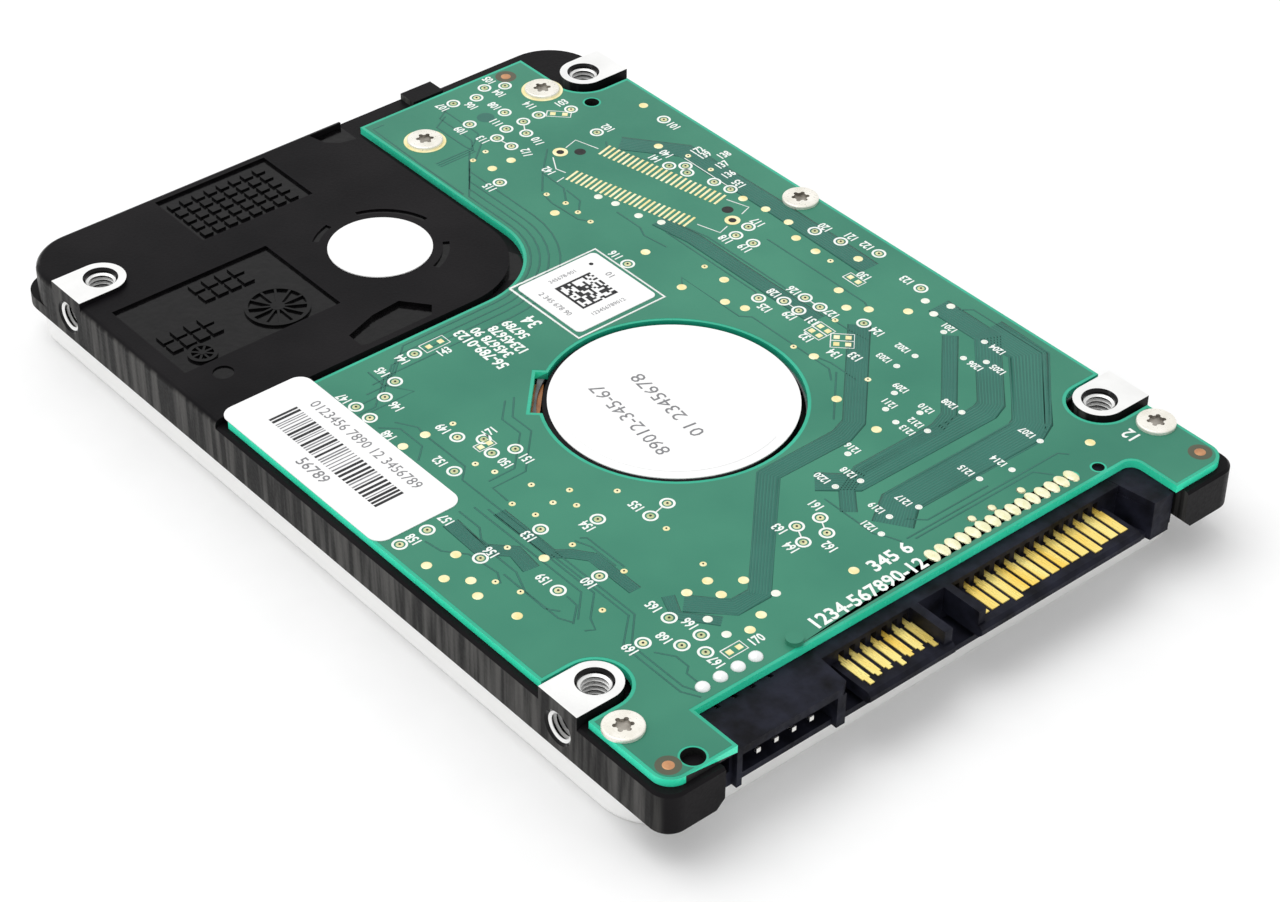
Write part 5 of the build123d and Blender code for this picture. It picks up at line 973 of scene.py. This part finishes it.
for index in range(9):
    ruled.append((label_mid.x / MM - 14 + (index % 2) * 3.0, label_mid.y / MM + 20 - index * 2.1, 26 - (index % 3) * 7, 0.42))
for index in range(24):
    ruled.append((label_mid.x / MM + 6 + index * 0.95, label_mid.y / MM + 17.5, 0.22 + 0.4 * (index * 7 % 3) / 2, 5.6))
for index in range(5):
    ruled.append((label_mid.x / MM + 10, label_mid.y / MM - 8 - index * 2.6, 30 - index * 3, 0.36))
blocks = []
for x, y, wide, tall in ruled:
    piece = slab(wide, tall, PAPER_INK)
    piece.location = (x * MM, y * MM, UNDER - PAPER_INK)
    blocks.append(piece)
settle(join(blocks), "cover_label_print", ink_grey)


# ---------------------------------------------------------------- under the board
# Packages of black epoxy, ceramic capacitors and a grey foam sheet, in the space between
# the board and the casting, with the motor's amber flexible circuit.
epoxy = finish("black_epoxy", (0.012, 0.012, 0.013), (0.026, 0.026, 0.028), (0.5, 0.7), patch=500, speck=4200,
               depth=0.5, gloss=0.4)
ceramic = finish("tan_ceramic", (0.40, 0.29, 0.19), (0.58, 0.45, 0.32), (0.4, 0.55), patch=900, speck=3800,
                 depth=0.2)
foam = finish("grey_foam", (0.12, 0.12, 0.125), (0.22, 0.22, 0.23), (0.8, 0.95), patch=700, speck=2800,
              depth=0.8)
amber = finish("amber_film", (0.34, 0.10, 0.02), (0.52, 0.19, 0.045), (0.25, 0.4), patch=260, speck=2600,
               depth=0.15, stretch=(1, 4, 4), coat=0.3)
coat_nodes(epoxy, "controller_chip", "memory_chip", "motor_driver_chip")
coat_nodes(ceramic, "board_capacitors")
coat_nodes(foam, "board_insulator")
coat_nodes(amber, "motor_flex", "flex_cable", "preamplifier")


# ---------------------------------------------------------------- spindle and disks
# Two glass disks with a sputtered mirror surface on a turned aluminium hub, driven by a
# copper-wound stator of stacked steel inside a nickel-plated magnet ring.
turned_aluminium = finish("turned_aluminium", (0.72, 0.72, 0.72), (0.86, 0.86, 0.86), (0.18, 0.32), metallic=1.0,
                          patch=200, speck=3000, depth=0.2)
tree = turned_aluminium.node_tree
rings = tree.nodes.new("ShaderNodeTexWave")
rings.wave_type = "RINGS"
rings.rings_direction = "Z"
rings.inputs["Scale"].default_value = 1400
centre = tree.nodes.new("ShaderNodeMapping")
hub_low, hub_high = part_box("spindle_hub")
centre.inputs["Location"].default_value = (-(hub_low.x + hub_high.x) / 2, -(hub_low.y + hub_high.y) / 2, 0)
tree.links.new(tree.nodes["Texture Coordinate"].outputs["Object"], centre.inputs["Vector"])
tree.links.new(centre.outputs["Vector"], rings.inputs["Vector"])
cut = tree.nodes.new("ShaderNodeBump")
cut.inputs["Strength"].default_value = 0.12
cut.inputs["Distance"].default_value = 0.02 * MM
tree.links.new(rings.outputs["Fac"], cut.inputs["Height"])
tree.links.new(tree.nodes["grain"].outputs["Normal"], cut.inputs["Normal"])
tree.links.new(cut.outputs["Normal"], tree.nodes["Principled BSDF"].inputs["Normal"])

disk_mirror = finish("disk_mirror", (0.74, 0.755, 0.78), (0.80, 0.81, 0.83), (0.02, 0.05), metallic=1.0, patch=30,
                     speck=400, depth=0.01)
steel = finish("ground_steel", (0.50, 0.50, 0.51), (0.64, 0.64, 0.64), (0.22, 0.36), metallic=1.0, patch=300,
               speck=3600, depth=0.2)
magnet = finish("magnet_nickel", (0.56, 0.56, 0.55), (0.70, 0.70, 0.69), (0.12, 0.26), metallic=1.0, patch=160,
                speck=1800, depth=0.25)
laminated = finish("steel_laminations", (0.10, 0.10, 0.105), (0.30, 0.30, 0.31), (0.35, 0.5), metallic=0.8,
                   patch=5200, speck=2600, depth=0.4, stretch=(0.02, 0.02, 1))
winding = finish("copper_winding", (0.34, 0.10, 0.035), (0.72, 0.30, 0.12), (0.2, 0.34), metallic=0.8,
                 patch=5200, speck=6200, depth=0.7, stretch=(0.06, 0.06, 1), coat=0.4)
coat_nodes(turned_aluminium, "spindle_hub", "spacer_ring", "disk_clamp", "motor_bracket")
nodes["motor_bracket"].data.materials.append(black)
bracket = nodes["motor_bracket"].data
for face in bracket.polygons:
    corners = [bracket.vertices[index].co for index in face.vertices]
    if face.center.z > 7 * MM and max(math.hypot(co.x - SPINDLE_X, co.y) for co in corners) > 11.9 * MM:
        face.material_index = 1
coat_nodes(disk_mirror, "lower_platter", "upper_platter")
coat_nodes(steel, "spindle_shaft", "bearing_sleeve")
coat_nodes(magnet, "magnet_ring")
coat_nodes(laminated, "stator_core")
coat_nodes(winding, "stator_coils", "voice_coil")


# ---------------------------------------------------------------- actuator
# A machined aluminium carriage on a ball bearing cartridge, with steel suspensions, ceramic
# sliders and a flat coil in a moulded frame between two nickel-plated yokes.
machined = finish("machined_carriage", (0.74, 0.74, 0.74), (0.84, 0.84, 0.84), (0.3, 0.44), metallic=1.0,
                  patch=240, speck=2600, depth=0.25, stretch=(1, 1, 0.2))
frame_black = finish("frame_plastic", (0.03, 0.03, 0.03), (0.06, 0.06, 0.06), (0.45, 0.6), patch=300, speck=2600,
                     depth=0.4)
slider_dark = finish("slider_ceramic", (0.05, 0.05, 0.055), (0.11, 0.11, 0.12), (0.2, 0.3), patch=1500,
                     speck=5000, depth=0.1)
acetal = finish("ivory_acetal", (0.66, 0.62, 0.52), (0.78, 0.75, 0.66), (0.35, 0.48), patch=300, speck=2600,
                depth=0.15)
felt = finish("filter_felt", (0.66, 0.66, 0.64), (0.86, 0.86, 0.84), (0.85, 0.95), patch=1800, speck=5200,
              depth=1.0)
coat_nodes(machined, "arm_carriage")
coat_nodes(steel, "pivot_sleeve", "pivot_outer_races", "pivot_balls", "suspensions", "pivot_inner_races",
           "pivot_shaft", "yoke_posts", "latch_pin")
coat_nodes(slider_dark, "head_sliders")
coat_nodes(frame_black, "coil_frame", "inertial_latch", "flex_bracket")
coat_nodes(magnet, "lower_yoke", "upper_yoke", "yoke_magnets")
coat_nodes(acetal, "head_ramp")
coat_nodes(felt, "recirculation_filter", "breather_filter")
